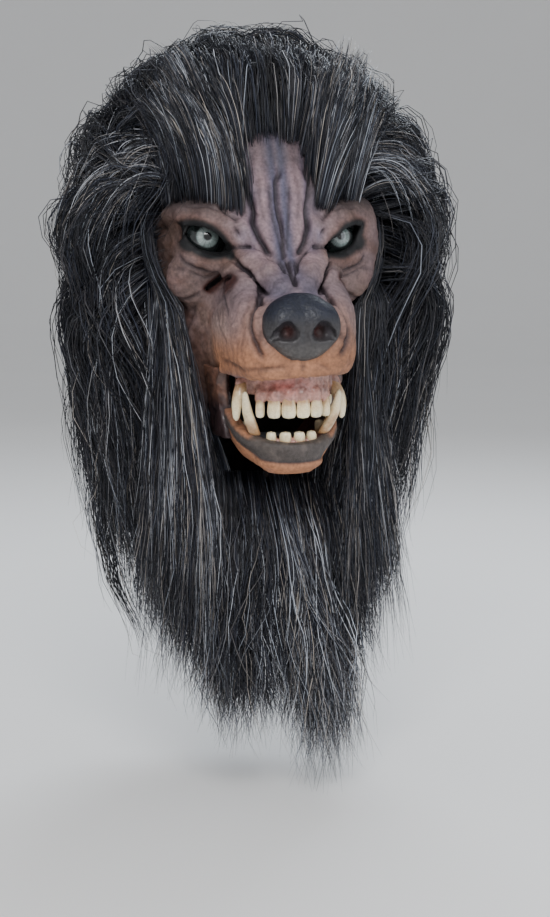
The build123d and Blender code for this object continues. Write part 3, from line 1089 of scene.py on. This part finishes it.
def mesh_layer(tree, name, output):
    """Value of a mesh's own layer."""
    node = tree.nodes.new("ShaderNodeAttribute")
    node.attribute_name = name
    return node.outputs[output]


def remap(tree, value, from_low, from_high, to_low, to_high):
    """Map Range node on a value."""
    node = tree.nodes.new("ShaderNodeMapRange")
    set_inputs(node, From_Min=from_low, From_Max=from_high, To_Min=to_low, To_Max=to_high)
    tree.links.new(value, node.inputs["Value"])
    return node.outputs["Result"]


def mixed(tree, share, a, b, kind="MIX"):
    """Mix of two colours, each an output or a colour, by a share that is an output or a number."""
    node = tree.nodes.new("ShaderNodeMix")
    node.data_type = "RGBA"
    node.blend_type = kind
    for socket, value in ((node.inputs[0], share), (node.inputs[6], a), (node.inputs[7], b)):
        if isinstance(value, bpy.types.NodeSocket):
            tree.links.new(value, socket)
        else:
            socket.default_value = (*value, 1.0) if isinstance(value, tuple) else value
    return node.outputs[2]


def shaded(tree, colour, value, low, high):
    """Colour made darker and lighter by a noise texture's value."""
    return mixed(tree, 1.0, colour, remap(tree, value, 0.3, 0.7, low, high), "MULTIPLY")


def bumped(tree, shader, *heights):
    """Bump from several heights in a chain, each a height output, a strength and a distance in metres."""
    last = None
    for height, strength, distance in heights:
        node = tree.nodes.new("ShaderNodeBump")
        set_inputs(node, Strength=strength, Distance=distance)
        tree.links.new(height, node.inputs["Height"])
        if last is not None:
            tree.links.new(last, node.inputs["Normal"])
        last = node.outputs["Normal"]
    tree.links.new(last, shader.inputs["Normal"])


def painted_latex(name, rough_dry, rough_wet, pore=1400.0, coat=0.0):
    """Latex that takes its paint and wetness from the mesh, with stippled pigment and pores."""
    material, tree, shader = new_material(name)
    stipple = texture(tree, "Noise", 420.0, 4.0)
    blotch = texture(tree, "Noise", 95.0)
    colour = shaded(tree, mesh_layer(tree, "paint", "Color"), stipple, 0.74, 1.24)
    tree.links.new(shaded(tree, colour, blotch, 0.88, 1.12), shader.inputs["Base Color"])
    wet = mesh_layer(tree, "wet", "Fac")
    tree.links.new(remap(tree, wet, 0, 1, rough_dry, rough_wet), shader.inputs["Roughness"])
    pores = texture(tree, "Voronoi", pore)
    grain = texture(tree, "Noise", 700.0, 4.0)
    bumped(tree, shader, (pores, 0.35, 0.0004), (grain, 0.45, 0.0006))
    set_inputs(shader, Coat_Weight=coat, Coat_Roughness=0.12, Specular_IOR_Level=0.4)
    return material


def painted_material(name, scale, low, high, detail=3.0):
    """Material with the mesh's paint made uneven by noise, its node tree, its shader and the noise value."""
    material, tree, shader = new_material(name)
    fine = texture(tree, "Noise", scale, detail)
    colour = shaded(tree, mesh_layer(tree, "paint", "Color"), fine, low, high)
    tree.links.new(colour, shader.inputs["Base Color"])
    return material, tree, shader, fine


def tooth_resin():
    """Glossy ivory resin with a fine grain."""
    material, tree, shader, fine = painted_material("tooth_resin", 900.0, 0.85, 1.12)
    bumped(tree, shader, (fine, 0.25, 0.0003))
    set_inputs(shader, Roughness=0.28, Coat_Weight=0.5, Coat_Roughness=0.1)
    set_inputs(shader, Subsurface_Weight=0.15, Subsurface_Radius=(0.003, 0.002, 0.001))
    return material


def eye_acrylic():
    """Painted iris under a clear gloss."""
    material, _, shader, _ = painted_material("eye_acrylic", 1600.0, 0.8, 1.2, 2.0)
    set_inputs(shader, Roughness=0.12, Coat_Weight=1.0, Coat_Roughness=0.02)
    return material


def hair_fibre():
    """Coarse wiry hair, tinted by its paint."""
    material, _, shader, _ = painted_material("hair_fibre", 60.0, 0.7, 1.3)
    set_inputs(shader, Roughness=0.42, Specular_IOR_Level=0.35)
    return material


def open_cell_foam():
    """Grey foam with visible cells."""
    material, tree, shader = new_material("open_cell_foam")
    cells = texture(tree, "Voronoi", 900.0)
    cloud = texture(tree, "Noise", 120.0)
    shade = mixed(tree, remap(tree, cells, 0, 0.7, 0, 1), (0.03, 0.03, 0.032), (0.16, 0.16, 0.17))
    tree.links.new(shaded(tree, shade, cloud, 0.8, 1.2), shader.inputs["Base Color"])
    bumped(tree, shader, (cells, 0.8, 0.0006))
    set_inputs(shader, Roughness=0.95)
    return material


def cup_plastic():
    """Black cup plastic with a fine spark grain."""
    material, tree, shader = new_material("cup_plastic")
    grain = texture(tree, "Noise", 1200.0, 5.0)
    colour = mixed(tree, grain, (0.012, 0.012, 0.013), (0.03, 0.03, 0.032))
    tree.links.new(colour, shader.inputs["Base Color"])
    tree.links.new(remap(tree, grain, 0.3, 0.7, 0.45, 0.6), shader.inputs["Roughness"])
    bumped(tree, shader, (grain, 0.4, 0.0003))
    return material


def hood_latex():
    """Bare brown latex of the hood, brushed near-black under the hair as painted shade."""
    material, tree, shader = new_material("hood_latex")
    cloud = texture(tree, "Noise", 28.0, 6.0)
    fine = texture(tree, "Noise", 420.0, 4.0)
    # Near-black patches are painted shade under the hair.
    base = mixed(tree, remap(tree, cloud, 0.35, 0.65, 0, 1), (0.045, 0.030, 0.026), (0.012, 0.010, 0.010))
    tree.links.new(shaded(tree, base, fine, 0.7, 1.3), shader.inputs["Base Color"])
    bumped(tree, shader, (cloud, 0.4, 0.002), (fine, 0.4, 0.0005))
    set_inputs(shader, Roughness=0.6)
    return material


def dress(thing, material):
    """Gives an object one material."""
    thing.data.materials.clear()
    thing.data.materials.append(material)


LATEX = painted_latex("painted_latex", 0.62, 0.3)
WET_LATEX = painted_latex("wet_latex", 0.5, 0.2, 900.0, 0.35)
NOSE_RUBBER = painted_latex("nose_rubber", 0.55, 0.38, 650.0, 0.06)
RESIN = tooth_resin()
ACRYLIC = eye_acrylic()
FOAM = open_cell_foam()
CUP = cup_plastic()
HOOD = hood_latex()
HAIR = hair_fibre()


def place(thing, material, body, node):
    """Gives a piece its material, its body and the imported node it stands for."""
    dress(thing, material)
    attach(thing, body)
    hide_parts(node)


# ---------------------------------------------------------------- hair

MANE = [
    (77, 22, 26, 20),
    (62, 48, 56, 18),
    (38, 88, 92, 16),
    (10, 114, 116, 16),
    (-40, 136, 136, 16),
    (-110, 152, 148, 16),
    (-185, 160, 150, 16),
    (-262, 156, 138, 18),
    (-340, 138, 112, 24),
    (-440, 96, 68, 34),
]
THATCH = [
    (44, 44, 52, 8),
    (22, 76, 88, 8),
    (-20, 96, 108, 8),
    (-85, 106, 116, 10),
    (-150, 106, 112, 12),
    (-220, 104, 104, 14),
    (-290, 98, 90, 18),
    (-325, 82, 70, 24),
    (-352, 50, 40, 30),
]
THATCH_BOX = (-130, -128, -424), (130, 150, 66)
TAIL_X = [-62, -40, -8, 12, 24, 64, 74]
TAIL_Z = [-474, -504, -500, -492, -528, -530, -506]
CROWN_TOP = 15  # where the rounded top of the skin starts
MANE_TOP = 78
RINGS = 14
HAIRS_IN_MESH = 2450
THICK, FINE = 0.31, 0.25  # radius of the mane's hairs and of the brow's
INK = np.array((0.005, 0.006, 0.010))
CHARCOAL = np.array((0.042, 0.045, 0.062))
SILVER = np.array((0.52, 0.53, 0.56))
WARM = np.array((1.0, 0.1, -1.0))
LEAN = np.array((0.3, 0.5, 0))  # keeps a hair's chord from being upright
dice = np.random.default_rng(5)


# Tracts of scalp: guides, angle, height, comb, length, layer, fall, tone, spread, frizz. See grow and locks.
CROWN = [
    (150, (0, 24), (-26, 24), (0.55, 1.0, 0.1), (105, 175), (0.55, 1.0), 0.62, 0.26, (5, 7, 8), 5.0),
    (190, (20, 72), (-22, 24), (0.75, 0.9, 0.25), (120, 215), (0.45, 1.0), 0.5, 0.24, (5, 7, 9), 8.0),
    (150, (70, 125), (-30, 24), (0.8, 0.7, 0.2), (150, 240), (0.4, 1.0), 0.42, 0.2, (6, 7, 9), 4.0),
]
FALL = [
    (150, (62, 100), (-70, 0), (0.9, 0.35, 0.2), (190, 330), (0.4, 1.0), 0.3, 0.20, (6, 9, 7), 11.0),
    (150, (66, 112), (-150, -60), (0.8, -0.1, 0.2), (200, 320), (0.25, 0.9), 0.2, 0.16, (6, 9, 8), 10.0),
    (120, (58, 84), (-235, -110), (0.55, -0.9, 0.0), (150, 260), (0.1, 0.55), 0.1, 0.20, (5, 6, 7), 5.0),
]
BACK = [
    (150, (100, 180), (-60, 24), (0.8, 0.3, 0.1), (200, 320), (0.4, 1.0), 0.3, 0.2, (6, 8, 11), 5.0),
    (150, (100, 180), (-170, -60), (0.8, -0.2, 0.1), (220, 330), (0.3, 1.0), 0.2, 0.18, (6, 8, 11), 5.0),
    (110, (96, 180), (-285, -190), (0.7, -0.5, 0.1), (150, 235), (0.1, 0.9), 0.15, 0.18, (6, 8, 11), 5.0),
]


def skin(p):
    """Distance field of the head under the hair."""
    return rings_up(p, HEAD)


def mane(p):
    """Outline of the mane, which is fuller on the left side of the head."""
    return rings_up([p[0] * np.where(p[0] > 0, 0.975, 1.06), p[1], p[2]], MANE)


def window(z):
    """Half width of the gap in the hair that shows the face."""
    heights = [-300, -275, -262, -240, -205, -165, -142, -128, -108, -60]
    return through(z, heights, [30, 44, 47, 48, 50, 58, 68, 80, 89, 92])


def scalp(angle, z):
    """Point on the head's skin at an angle from the front, towards +X, and at a height."""
    heights, rx, ry, cy = (np.array(v, float) for v in zip(*sorted(HEAD)))
    rx, ry, cy = (through(z, heights, v) for v in (rx, ry, cy))
    cap = np.sqrt(np.clip(1 - (z - CROWN_TOP) / 12, 0, 1))
    low_top = np.minimum(z, CROWN_TOP + 0.3 * (z - CROWN_TOP))
    return rows(rx * cap * np.sin(angle), cy - ry * cap * np.cos(angle), low_top)


def slope_of(field, p, h=1.5):
    """Value and unit slope of a field at points."""
    value = field(p.T)
    return value, unit(rows(*(field((p + h * axis).T) - value for axis in np.eye(3))))


def grow(root, comb, length, layer, fall, steps=24):
    """Guide hairs that leave the skin along a comb direction, rise to a layer of the mane and hang down it.

    comb is (outward, upward, backward) for each hair. fall is the share of its length before it hangs down.
    """
    _, out = slope_of(skin, root)
    rear = np.array((0, 0.35, 1.0))
    up = unit(rear - out * (out @ rear)[:, None])
    back = unit(np.cross(up, out)) * np.sign(root[:, :1] + 1e-6) * -1
    back = np.where((back[:, 1:2] < 0) & (np.abs(root[:, 1:2]) > 20), -back, back)
    heading = unit(out * comb[:, :1] + up * comb[:, 1:2] + back * comb[:, 2:])
    step = length[:, None] / steps
    at, way, path = root, heading, [root]
    for i in range(steps):
        t = (i + 0.5) / steps
        height, out = slope_of(skin, at)
        depth = np.clip(height, 0, None) - np.minimum(mane(at.T), 0)
        goal = layer * min(1, t / 0.3 + 0.1) * depth
        lift = np.clip((goal - height) / 18, -1.2, 0.9)[:, None]
        hang = step01(t, fall - 0.18, fall + 0.22)
        down = np.array((0, 0, -1.0)) - out * np.minimum(0, -out[:, 2:]) * 0.9
        beyond, away = slope_of(mane, at)
        pull = np.clip((beyond + 22 * (1 - layer)) / 22, 0, 1.6)[:, None]
        pull = pull + np.clip((at[:, 2:] - 46) / 30, 0, 1.8)
        want = heading * (1 - hang) + down * hang * 1.3 + out * lift * (0.3 + 0.5 * hang)
        way = unit(way * 0.66 + unit(want - away * pull) * 0.34)
        at = at + way * step
        # Keep clear of the face, then of the skin.
        x, y, z = at.T
        gap = window(z) + 3 + 20 * layer * (z > -250)
        front = (y < -18) & (z < -52) & (z > -300)
        at[:, 0] += np.clip(gap - np.abs(x), 0, 8) * front * np.sign(x) * 0.6
        at = at - out * np.minimum(skin(at.T) - 1.5, 0)[:, None]
        path.append(at)
    return tuck(np.stack(path, axis=1))


def tuck(guides):
    """Guides with whatever strays far out of the mane's outline drawn back in."""
    flat = guides.reshape(-1, 3)
    beyond, away = slope_of(mane, flat)
    room = np.repeat(pick(len(guides), 2, 34) * pick(len(guides), 0.5, 1), guides.shape[1])
    flat = flat - away * (0.8 * np.maximum(beyond - room, 0))[:, None]
    flat[:, 2] = np.minimum(flat[:, 2], MANE_TOP + 0.3 * (flat[:, 2] - MANE_TOP))
    return flat.reshape(guides.shape)


def bezier(*points, steps=24):
    """Curves from control points, each an array with one point for each curve."""
    points = np.stack(points, axis=1)
    t = np.linspace(0, 1, steps + 1)
    order = points.shape[1] - 1
    share = [math.comb(order, k) * t**k * (1 - t) ** (order - k) for k in range(order + 1)]
    return sum(share[k][None, :, None] * points[:, k][:, None, :] for k in range(order + 1))


def locks(guides, count, spread, frizz, tone, thick):
    """Hairs round each guide: their curves, radii and tones. Spread is (root, middle, tip) in millimetres."""
    n, steps = guides.shape[:2]
    owner = np.repeat(np.arange(n), count)
    m = len(owner)
    share = pick(m, 0.66, 1.0) ** 0.8
    t = np.linspace(0, 1, RINGS)
    at = np.clip(t[None] * share[:, None] * (steps - 1), 0, steps - 1.001)
    i = at.astype(int)
    f = (at - i)[:, :, None]
    curve = guides[owner[:, None], i] * (1 - f) + guides[owner[:, None], i + 1] * f
    chord = curve[:, -1] - curve[:, 0] + LEAN
    side = unit(np.cross(chord, (0, 0, 1.0)))[:, None]
    other = unit(np.cross(unit(chord), side[:, 0]))[:, None]
    wide = through(t, [0, 0.45, 1], spread)[None, :, None]
    a, b = (np.clip(dice.normal(0, 0.55, (m, 1, 1)), -1.3, 1.3) for _ in range(2))
    frizz = frizz * np.where(dice.random((m, 1)) > 0.96, 2.2, 1.0)
    curve = curve + wide * (a * side + b * other)
    size = np.linalg.norm(chord, axis=1)[:, None]
    swell = t[None] ** 1.3 * frizz
    for axis in (side, other):
        phase, turns = pick((m, 1), 0, 6.28), pick((m, 1), 0.5, 1.3) * size / 120
        wave = (np.sin(6.28 * turns * t[None] + phase) - np.sin(phase)) * swell * pick((m, 1), 0.3, 1)
        curve = curve + wave[:, :, None] * axis
        phase, turns = pick((m, 1), 0, 6.28), pick((m, 1), 2.5, 5) * size / 110
        wave = np.sin(6.28 * turns * t[None] + phase) * swell * 0.09
        curve = curve + wave[:, :, None] * axis
    taper = through(t, [0, 0.12, 0.65, 0.9, 1], [0.4, 1, 0.9, 0.5, 0.12])[None]
    radius = thick * pick((m, 1), 0.7, 1.25) * taper
    shade = np.clip(tone[owner] + dice.normal(0, 0.22, m) + 0.42 * (dice.random(m) > 0.76), 0, 1)
    return curve, radius, shade


def hair_mesh(name, curve, radius, shade):
    """Object of closed three-sided hairs, with a square of the bake map for each hair."""
    n = len(curve)
    along = unit(np.gradient(curve, axis=1))
    across = unit(np.cross(curve[:, -1] - curve[:, 0] + LEAN, (0, 0, 1.0)))[:, None]
    side = unit(np.cross(along, np.cross(across, along)))
    other = np.cross(along, side)
    turns = [k * FULL_TURN / 3 for k in range(3)]
    points = [curve + radius[:, :, None] * (math.cos(turn) * side + math.sin(turn) * other) for turn in turns]
    points = np.stack(points, axis=2).reshape(-1, 3)
    # One hair's triangles: two for each side of each ring, and one at each end.
    k, ring = np.tile(np.arange(3), RINGS - 1), np.repeat(np.arange(RINGS - 1), 3)
    a, b = 3 * ring + k, 3 * ring + (k + 1) % 3
    last = 3 * (RINGS - 1)
    one = np.concatenate([rows(a, b, b + 3), rows(a, b + 3, a + 3), [[0, 2, 1], [last, last + 1, last + 2]]])
    faces = (one[None] + (np.arange(n) * RINGS * 3)[:, None, None]).reshape(-1, 3)
    thing = make_mesh(name, points, faces)
    # Places of the same triangles in a square, and the squares side by side.
    u = np.concatenate([rows(k, k + 1, k + 1), rows(k, k + 1, k), [[0, 1, 1], [2, 3, 3]]]) / 3
    ends = [[0] * 3, [RINGS - 1] * 3]
    v = np.concatenate([rows(ring, ring, ring + 1), rows(ring, ring + 1, ring + 1), ends])
    square = np.stack([u, v / (RINGS - 1)], axis=2).reshape(-1, 2) * 0.86 + 0.07
    columns = math.ceil(math.sqrt(n))
    corner = np.stack([np.arange(n) % columns, np.arange(n) // columns], axis=1) / columns
    uv = corner[:, None, :] + square[None] / columns
    thing.data.uv_layers.new(name="OFBake").data.foreach_set("uv", uv.astype(np.float32).ravel())
    t = np.linspace(0, 1, RINGS)[None]
    band = 0.03 * np.sin(19 * t + 40 * shade[:, None])
    tone = np.clip(shade[:, None] * (0.75 + 0.35 * t) + band, 0, 1)[:, :, None]
    colour = INK + (CHARCOAL - INK) * np.clip(tone * 2.0, 0, 1)
    colour = colour + (SILVER - CHARCOAL) * np.clip(tone * 1.8 - 0.8, 0, 1) ** 1.5
    tint = (0.05 + 0.12 * np.sin(37 * shade))[:, None, None] * WARM
    add_paint(thing, np.repeat((colour * (1 + tint)).reshape(-1, 3), 3, axis=0))
    return thing


def pick(n, low, high):
    """Random numbers between two limits."""
    return dice.uniform(low, high, n)


def wild(root, size, amount):
    """Slow random change over the skin, so that neighbouring locks lie alike."""
    return amount * rows(*(rough(root + 31 * k, size) for k in range(3)))


def tone_at(root, level):
    """Brightness of each lock round a level, in bands."""
    return np.clip(level - 0.13 + 0.42 * rough(root + 5, 20) + dice.normal(0, 0.08, len(root)), 0, 1)


def turned(side, n, low, high):
    """Random angles from the front, in degrees between two limits, on one side."""
    return side * np.radians(pick(n, low, high))


def grown(side, n, angle, z, comb, length, layer, fall, level):
    """Guides of one tract of scalp on one side, with their tones."""
    turn = turned(side, n, *angle)
    height = pick(n, *z)
    hairline = -10 - 45 * np.abs(turn) + 16 * dice.random(n)
    height = np.where(np.abs(turn) < 0.4, np.maximum(height, hairline), height)
    root = scalp(turn, height)
    guides = grow(root, np.array(comb) + wild(root, 30, 0.5), pick(n, *length), pick(n, *layer), fall)
    return guides, tone_at(root, level)


def tracts(side, table):
    """Hair of the tracts of scalp in a table, on one side."""
    return [(*grown(side, *row[:8]), *row[8:]) for row in table]


def brow(side):
    """Straight-edged hair over the brow, combed up."""
    n = 190
    x = side * (28 + 58 * pick(n, 0, 1) ** 0.8 - 5 * pick(n, 0, 1) ** 3)
    z = -62 + pick(n, 0, 1) ** 1.3 * 46 + 7 * rough(rows(x, 0, 0), 9) - 9 * pick(n, 0, 1) ** 3
    angle = np.arcsin(np.clip(np.abs(x) / through(z, [-85, -35, 0], [90, 86, 72]), 0, 0.99))
    root = scalp(angle * side, z)
    root[:, 1] -= 2
    rise = pick(n, 52, 92)
    mid = root + rows(side * rise * 0.04, -6, rise * 0.5) + wild(root, 22, 4)
    tip = root + rows(side * rise * 0.28, rise * 0.26, rise) + wild(root, 22, 9)
    mid[:, 1] -= 3
    guides = bezier(root, mid, (mid + tip) / 2 + rows(0, -0.10 * rise, 0.14 * rise), tip)
    return [(guides, tone_at(root, 0.36), (3.5, 4, 6), 2.2)]


def sides(side):
    """Temple tufts, then the long fall beside and behind the face."""
    n = 34
    root = scalp(turned(side, n, 58, 78), pick(n, -64, -14))
    reach = pick(n, 46, 80)
    start = root + wild(root, 26, 12)
    one = start + rows(side * reach * 0.35, -reach * 0.12, reach * 0.34)
    two = start + rows(side * reach * 0.95, -reach * 0.05, reach * 0.26)
    tip = start + rows(side * reach * 1.12, reach * 0.05, -reach * pick(n, 0.1, 0.9))
    tufts = tuck(bezier(root, one, two, tip))
    return [
        (tufts, tone_at(root, 0.55), (5, 6, 9), 3.0),
        *tracts(side, FALL),
    ]


def curtain(side):
    """Hair that hangs from the temple close beside the muzzle and the jaw, and darker hair behind it."""
    n = 170
    root = scalp(turned(side, n, 58, 84), pick(n, -150, -70))
    rank = pick(n, 0, 1)
    sweep = 26 if side > 0 else 8
    one = root + rows(side * pick(n, 0, 10), -pick(n, 8, 24), -34)
    two = rows(side * (55 + 41 * rank), -117 + 63 * rank + pick(n, -5, 5), pick(n, -225, -195))
    three = rows(side * (48 + 48 * rank + sweep * 0.4), -112 + 62 * rank, pick(n, -320, -290))
    tip = rows(side * (44 + 56 * rank + sweep) + pick(n, -12, 12), -88 + 54 * rank, pick(n, -465, -370))
    guides = bezier(root, one, two, three + wild(root, 18, 6), tip)
    x, y, z = np.moveaxis(guides, 2, 0)
    gap = np.clip(window(z) + 3 - np.abs(x), 0, 40) * (z > -292) * step01(-y, 20, 50)
    guides[:, :, 0] += side * gap
    n = 70
    root = scalp(turned(side, n, 50, 62), pick(n, -236, -196))
    one = rows(side * pick(n, 34, 48), pick(n, -48, -40), pick(n, -252, -232))
    two = rows(side * pick(n, 16, 42), pick(n, -47, -40), pick(n, -288, -268))
    three = rows(side * pick(n, 20, 50), pick(n, -70, -52), pick(n, -345, -325))
    tip = rows(side * pick(n, 30, 62), pick(n, -90, -60), pick(n, -440, -380))
    behind = bezier(root, one, two, three, tip)
    return [
        (guides, tone_at(guides[:, 0], 0.28), (4, 4, 7), 4.5),
        (behind, tone_at(root, 0.24), (3, 2.5, 6), 1.2),
    ]


def bib(side):
    """Wavy hair that hangs below the jaw in two tails of unequal length, and the hair beside it."""
    n = 180
    root = scalp(turned(side, n, 2, 62), -274.5 - 24 * pick(n, 0, 1) ** 1.6)
    far = 1 - np.abs(root[:, 0]) / 66
    tip_x = pick(n, -64, 12) if side < 0 else pick(n, 6, 72)
    tip_z = through(tip_x, TAIL_X, TAIL_Z) + pick(n, 0, 1) ** 2 * 50
    tip_y = pick(n, -104, -66)
    one = rows(root[:, 0] * 1.05, root[:, 1] - 26 - 14 * far, -316 - pick(n, 0, 12))
    two = rows(root[:, 0] * 0.9 + side * 4, tip_y - 6, pick(n, -390, -350)) + wild(root, 15, 14)
    three = rows(tip_x * 0.9, tip_y, tip_z * 0.45 + two[:, 2] * 0.55 - 20) + wild(root + 9, 15, 14)
    guides = bezier(root, one, two, three, rows(tip_x, tip_y, tip_z))
    tails = (guides, tone_at(root, 0.40), (3.5, 8, 5), 11.0)
    n = 90
    root = scalp(turned(side, n, 56, 74), pick(n, -262, -200))
    one = root + rows(side * pick(n, 4, 18), -pick(n, 4, 24), -34)
    two = rows(side * pick(n, 52, 86), pick(n, -84, -50), pick(n, -360, -320))
    if side < 0:
        tip_x, tip_z = pick(n, -92, -44), pick(n, -470, -400)
    else:
        tip_x, tip_z = pick(n, 48, 92), pick(n, -480, -400)
    tip = rows(tip_x, pick(n, -84, -40), tip_z)
    guides = bezier(root, one, two, (two + tip) / 2 + wild(root, 15, 9), tip)
    return [tails, (guides, tone_at(root, 0.26), (6, 8, 5), 8.0)]


def make_hair(node, name, parts, count, thick=THICK):
    """Meshes of one packed tract of hair, each with a mixed share of its hairs."""
    made = [locks(guides, count, spread, frizz, tone, thick) for guides, tone, spread, frizz in parts]
    curve, radius, shade = (np.concatenate(v) for v in zip(*made))
    order = dice.permutation(len(curve))
    for k, some in enumerate(np.array_split(order, math.ceil(len(order) / HAIRS_IN_MESH))):
        thing = hair_mesh(f"{name}_{k + 1}", curve[some], radius[some], shade[some])
        place(thing, HAIR, "head", node)


def thatch_field(p):
    """Shell round the head, open at the face, the forehead and the throat."""
    x = np.abs(p[0])
    f = np.maximum(rings_up(p, THATCH), -(skin(p) - 1.5))
    f = carve(f, np.maximum(np.maximum(x - window(p[2]) - 7, p[1] + 12), p[2] + 52), 4)
    forehead = np.maximum(np.maximum(x - 90, p[1] + 40), p[2] + 12)
    throat = np.maximum(np.maximum(x - 62, p[1] + 46), -302 - p[2])
    return np.maximum(np.maximum(f, -forehead), -throat)


def make_thatch():
    """Matted dark under-hair that closes the gaps between the locks."""
    points, faces, normal = cast(thatch_field, *THATCH_BOX, 2.6, 1)
    strand = rough(points * np.array((1, 1, 0.08)), 6)
    points = points + normal * (2.0 * strand)[:, None]
    thing = make_mesh("hair_thatch", points, faces)
    add_paint(thing, INK + (CHARCOAL - INK) * 0.8 * step01(strand, -0.3, 0.9)[:, None])
    return thing


def make_all_hair():
    """Every tract of hair, and the thatch under them."""
    place(make_thatch(), HAIR, "head", "back_mane")
    make_hair("crown_mane", "crown_hair", tracts(1, CROWN) + tracts(-1, CROWN), 9)
    make_hair("back_mane", "back_hair", tracts(1, BACK) + tracts(-1, BACK), 8)
    for side, word in SIDES:
        make_hair(f"side_mane_{word}", f"side_hair_{word}", sides(side) + curtain(side), 10)
        make_hair(f"brow_hair_{word}", f"brow_hair_{word}", brow(side), 12, FINE)
    make_hair("throat_mane", "throat_hair", bib(1) + bib(-1), 12)


# ---------------------------------------------------------------- build

place(make_face(), LATEX, "head", "face_skin")
place(make_nose(), NOSE_RUBBER, "head", "nose_pad")
place(make_jaw(), LATEX, "jaw", "jaw_skin")
place(make_gum("upper"), WET_LATEX, "head", "upper_gum")
place(make_gum("lower"), WET_LATEX, "jaw", "lower_gum")
place(make_tongue(), WET_LATEX, "jaw", "tongue")
for node in sorted(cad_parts):
    if any(word in node for word in ("incisor", "canine", "premolar")):
        place(make_tooth(node), RESIN, "head" if node.startswith("upper") else "jaw", node)
for node in ("crown_pad", "forehead_pad", "nape_pad", "temple_pad_left", "temple_pad_right", "chin_cup"):
    pad = make_foam(node)
    place(pad, FOAM, "jaw" if node == "chin_cup" else "head", node)
for side, word in SIDES:
    place(make_eye(side, word), ACRYLIC, "head", f"eye_{word}")
    dress(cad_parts[f"eye_cup_{word}"], CUP)
    web = make_web(side, word)
    dress(web, WET_LATEX)
    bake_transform(web)
    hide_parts(f"cheek_web_{word}")
dress(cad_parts["hood_skin"], HOOD)
make_all_hair()


# ---------------------------------------------------------------- studio

AIM_AT = Vector((0.0, -0.060, -0.150))
AZIMUTH, ELEVATION, DISTANCE = math.radians(-13.0), math.radians(3.5), 1.5
LENS = 72.66
LOOK_RIGHT, LOOK_DOWN = 0.007, 0.1145  # how far the picture's middle lies from AIM_AT
FLOOR_GAP = 0.012
FLOOR_SIDES = 64
COOL = (0.85, 0.92, 1.0)


def set_camera():
    """Camera in front of the mask, a little to its right."""
    level = math.cos(ELEVATION)
    forward = Vector((-math.sin(AZIMUTH) * level, math.cos(AZIMUTH) * level, -math.sin(ELEVATION)))
    right = Vector((math.cos(AZIMUTH), math.sin(AZIMUTH), 0))
    up = right.cross(forward)
    camera = bpy.data.objects.new("camera", bpy.data.cameras.new("camera"))
    bpy.context.collection.objects.link(camera)
    camera.location = AIM_AT - forward * DISTANCE
    middle = AIM_AT + right * LOOK_RIGHT - up * LOOK_DOWN
    camera.rotation_euler = (middle - camera.location).to_track_quat("-Z", "Y").to_euler()
    camera.data.lens = LENS
    camera.data.sensor_fit = "VERTICAL"
    camera.data.sensor_height = 36.0
    bpy.context.scene.camera = camera


def area_light(name, at, target, size, power, colour=(1, 1, 1)):
    """Soft rectangular light."""
    data = bpy.data.lights.new(name, "AREA")
    data.shape = "RECTANGLE"
    data.size, data.size_y = size
    data.energy = power
    data.color = colour
    light = bpy.data.objects.new(name, data)
    bpy.context.collection.objects.link(light)
    light.location = at
    light.rotation_euler = (Vector(target) - Vector(at)).to_track_quat("-Z", "Y").to_euler()


def make_floor():
    """Pale round floor that curves up into a low wall far away."""
    floor_z = (cad_box[0][2] - FLOOR_GAP) / MM
    bend = np.linspace(0, math.pi / 2, 10)
    radii = np.concatenate([[0.01], 4500 + 2500 * np.sin(bend), [7000]])[:, None]
    heights = np.concatenate([[0.0], 2500 - 2500 * np.cos(bend), [4200]])[:, None]
    turn = np.arange(FLOOR_SIDES) / FLOOR_SIDES * FULL_TURN
    x, y, z = np.broadcast_arrays(radii * np.cos(turn), radii * np.sin(turn), floor_z + heights)
    points = np.stack([x, y, z], axis=2).reshape(-1, 3)
    floor = make_mesh("floor", points, tube_faces(len(radii), FLOOR_SIDES))
    material, tree, shader = new_material("studio_floor")
    cloud = texture(tree, "Noise", 3.0)
    tree.links.new(mixed(tree, cloud, (0.82, 0.81, 0.80), (0.85, 0.84, 0.83)), shader.inputs["Base Color"])
    set_inputs(shader, Roughness=0.9)
    dress(floor, material)


def set_lights():
    """Even cool surroundings and three soft lights."""
    world = bpy.data.worlds.new("studio")
    world.use_nodes = True
    set_inputs(world.node_tree.nodes["Background"], Color=(0.93, 0.96, 1.0, 1), Strength=0.62)
    bpy.context.scene.world = world
    area_light("key", (-0.35, -1.6, 1.0), (0, 0, -0.15), (0.8, 0.8), 30)
    area_light("fill", (1.4, -1.2, 0.1), (0, 0, -0.2), (1.2, 1.2), 10, COOL)
    area_light("rim", (0.6, 1.1, 1.0), (0, 0, 0), (1.0, 0.6), 24, COOL)


set_camera()
make_floor()
set_lights()
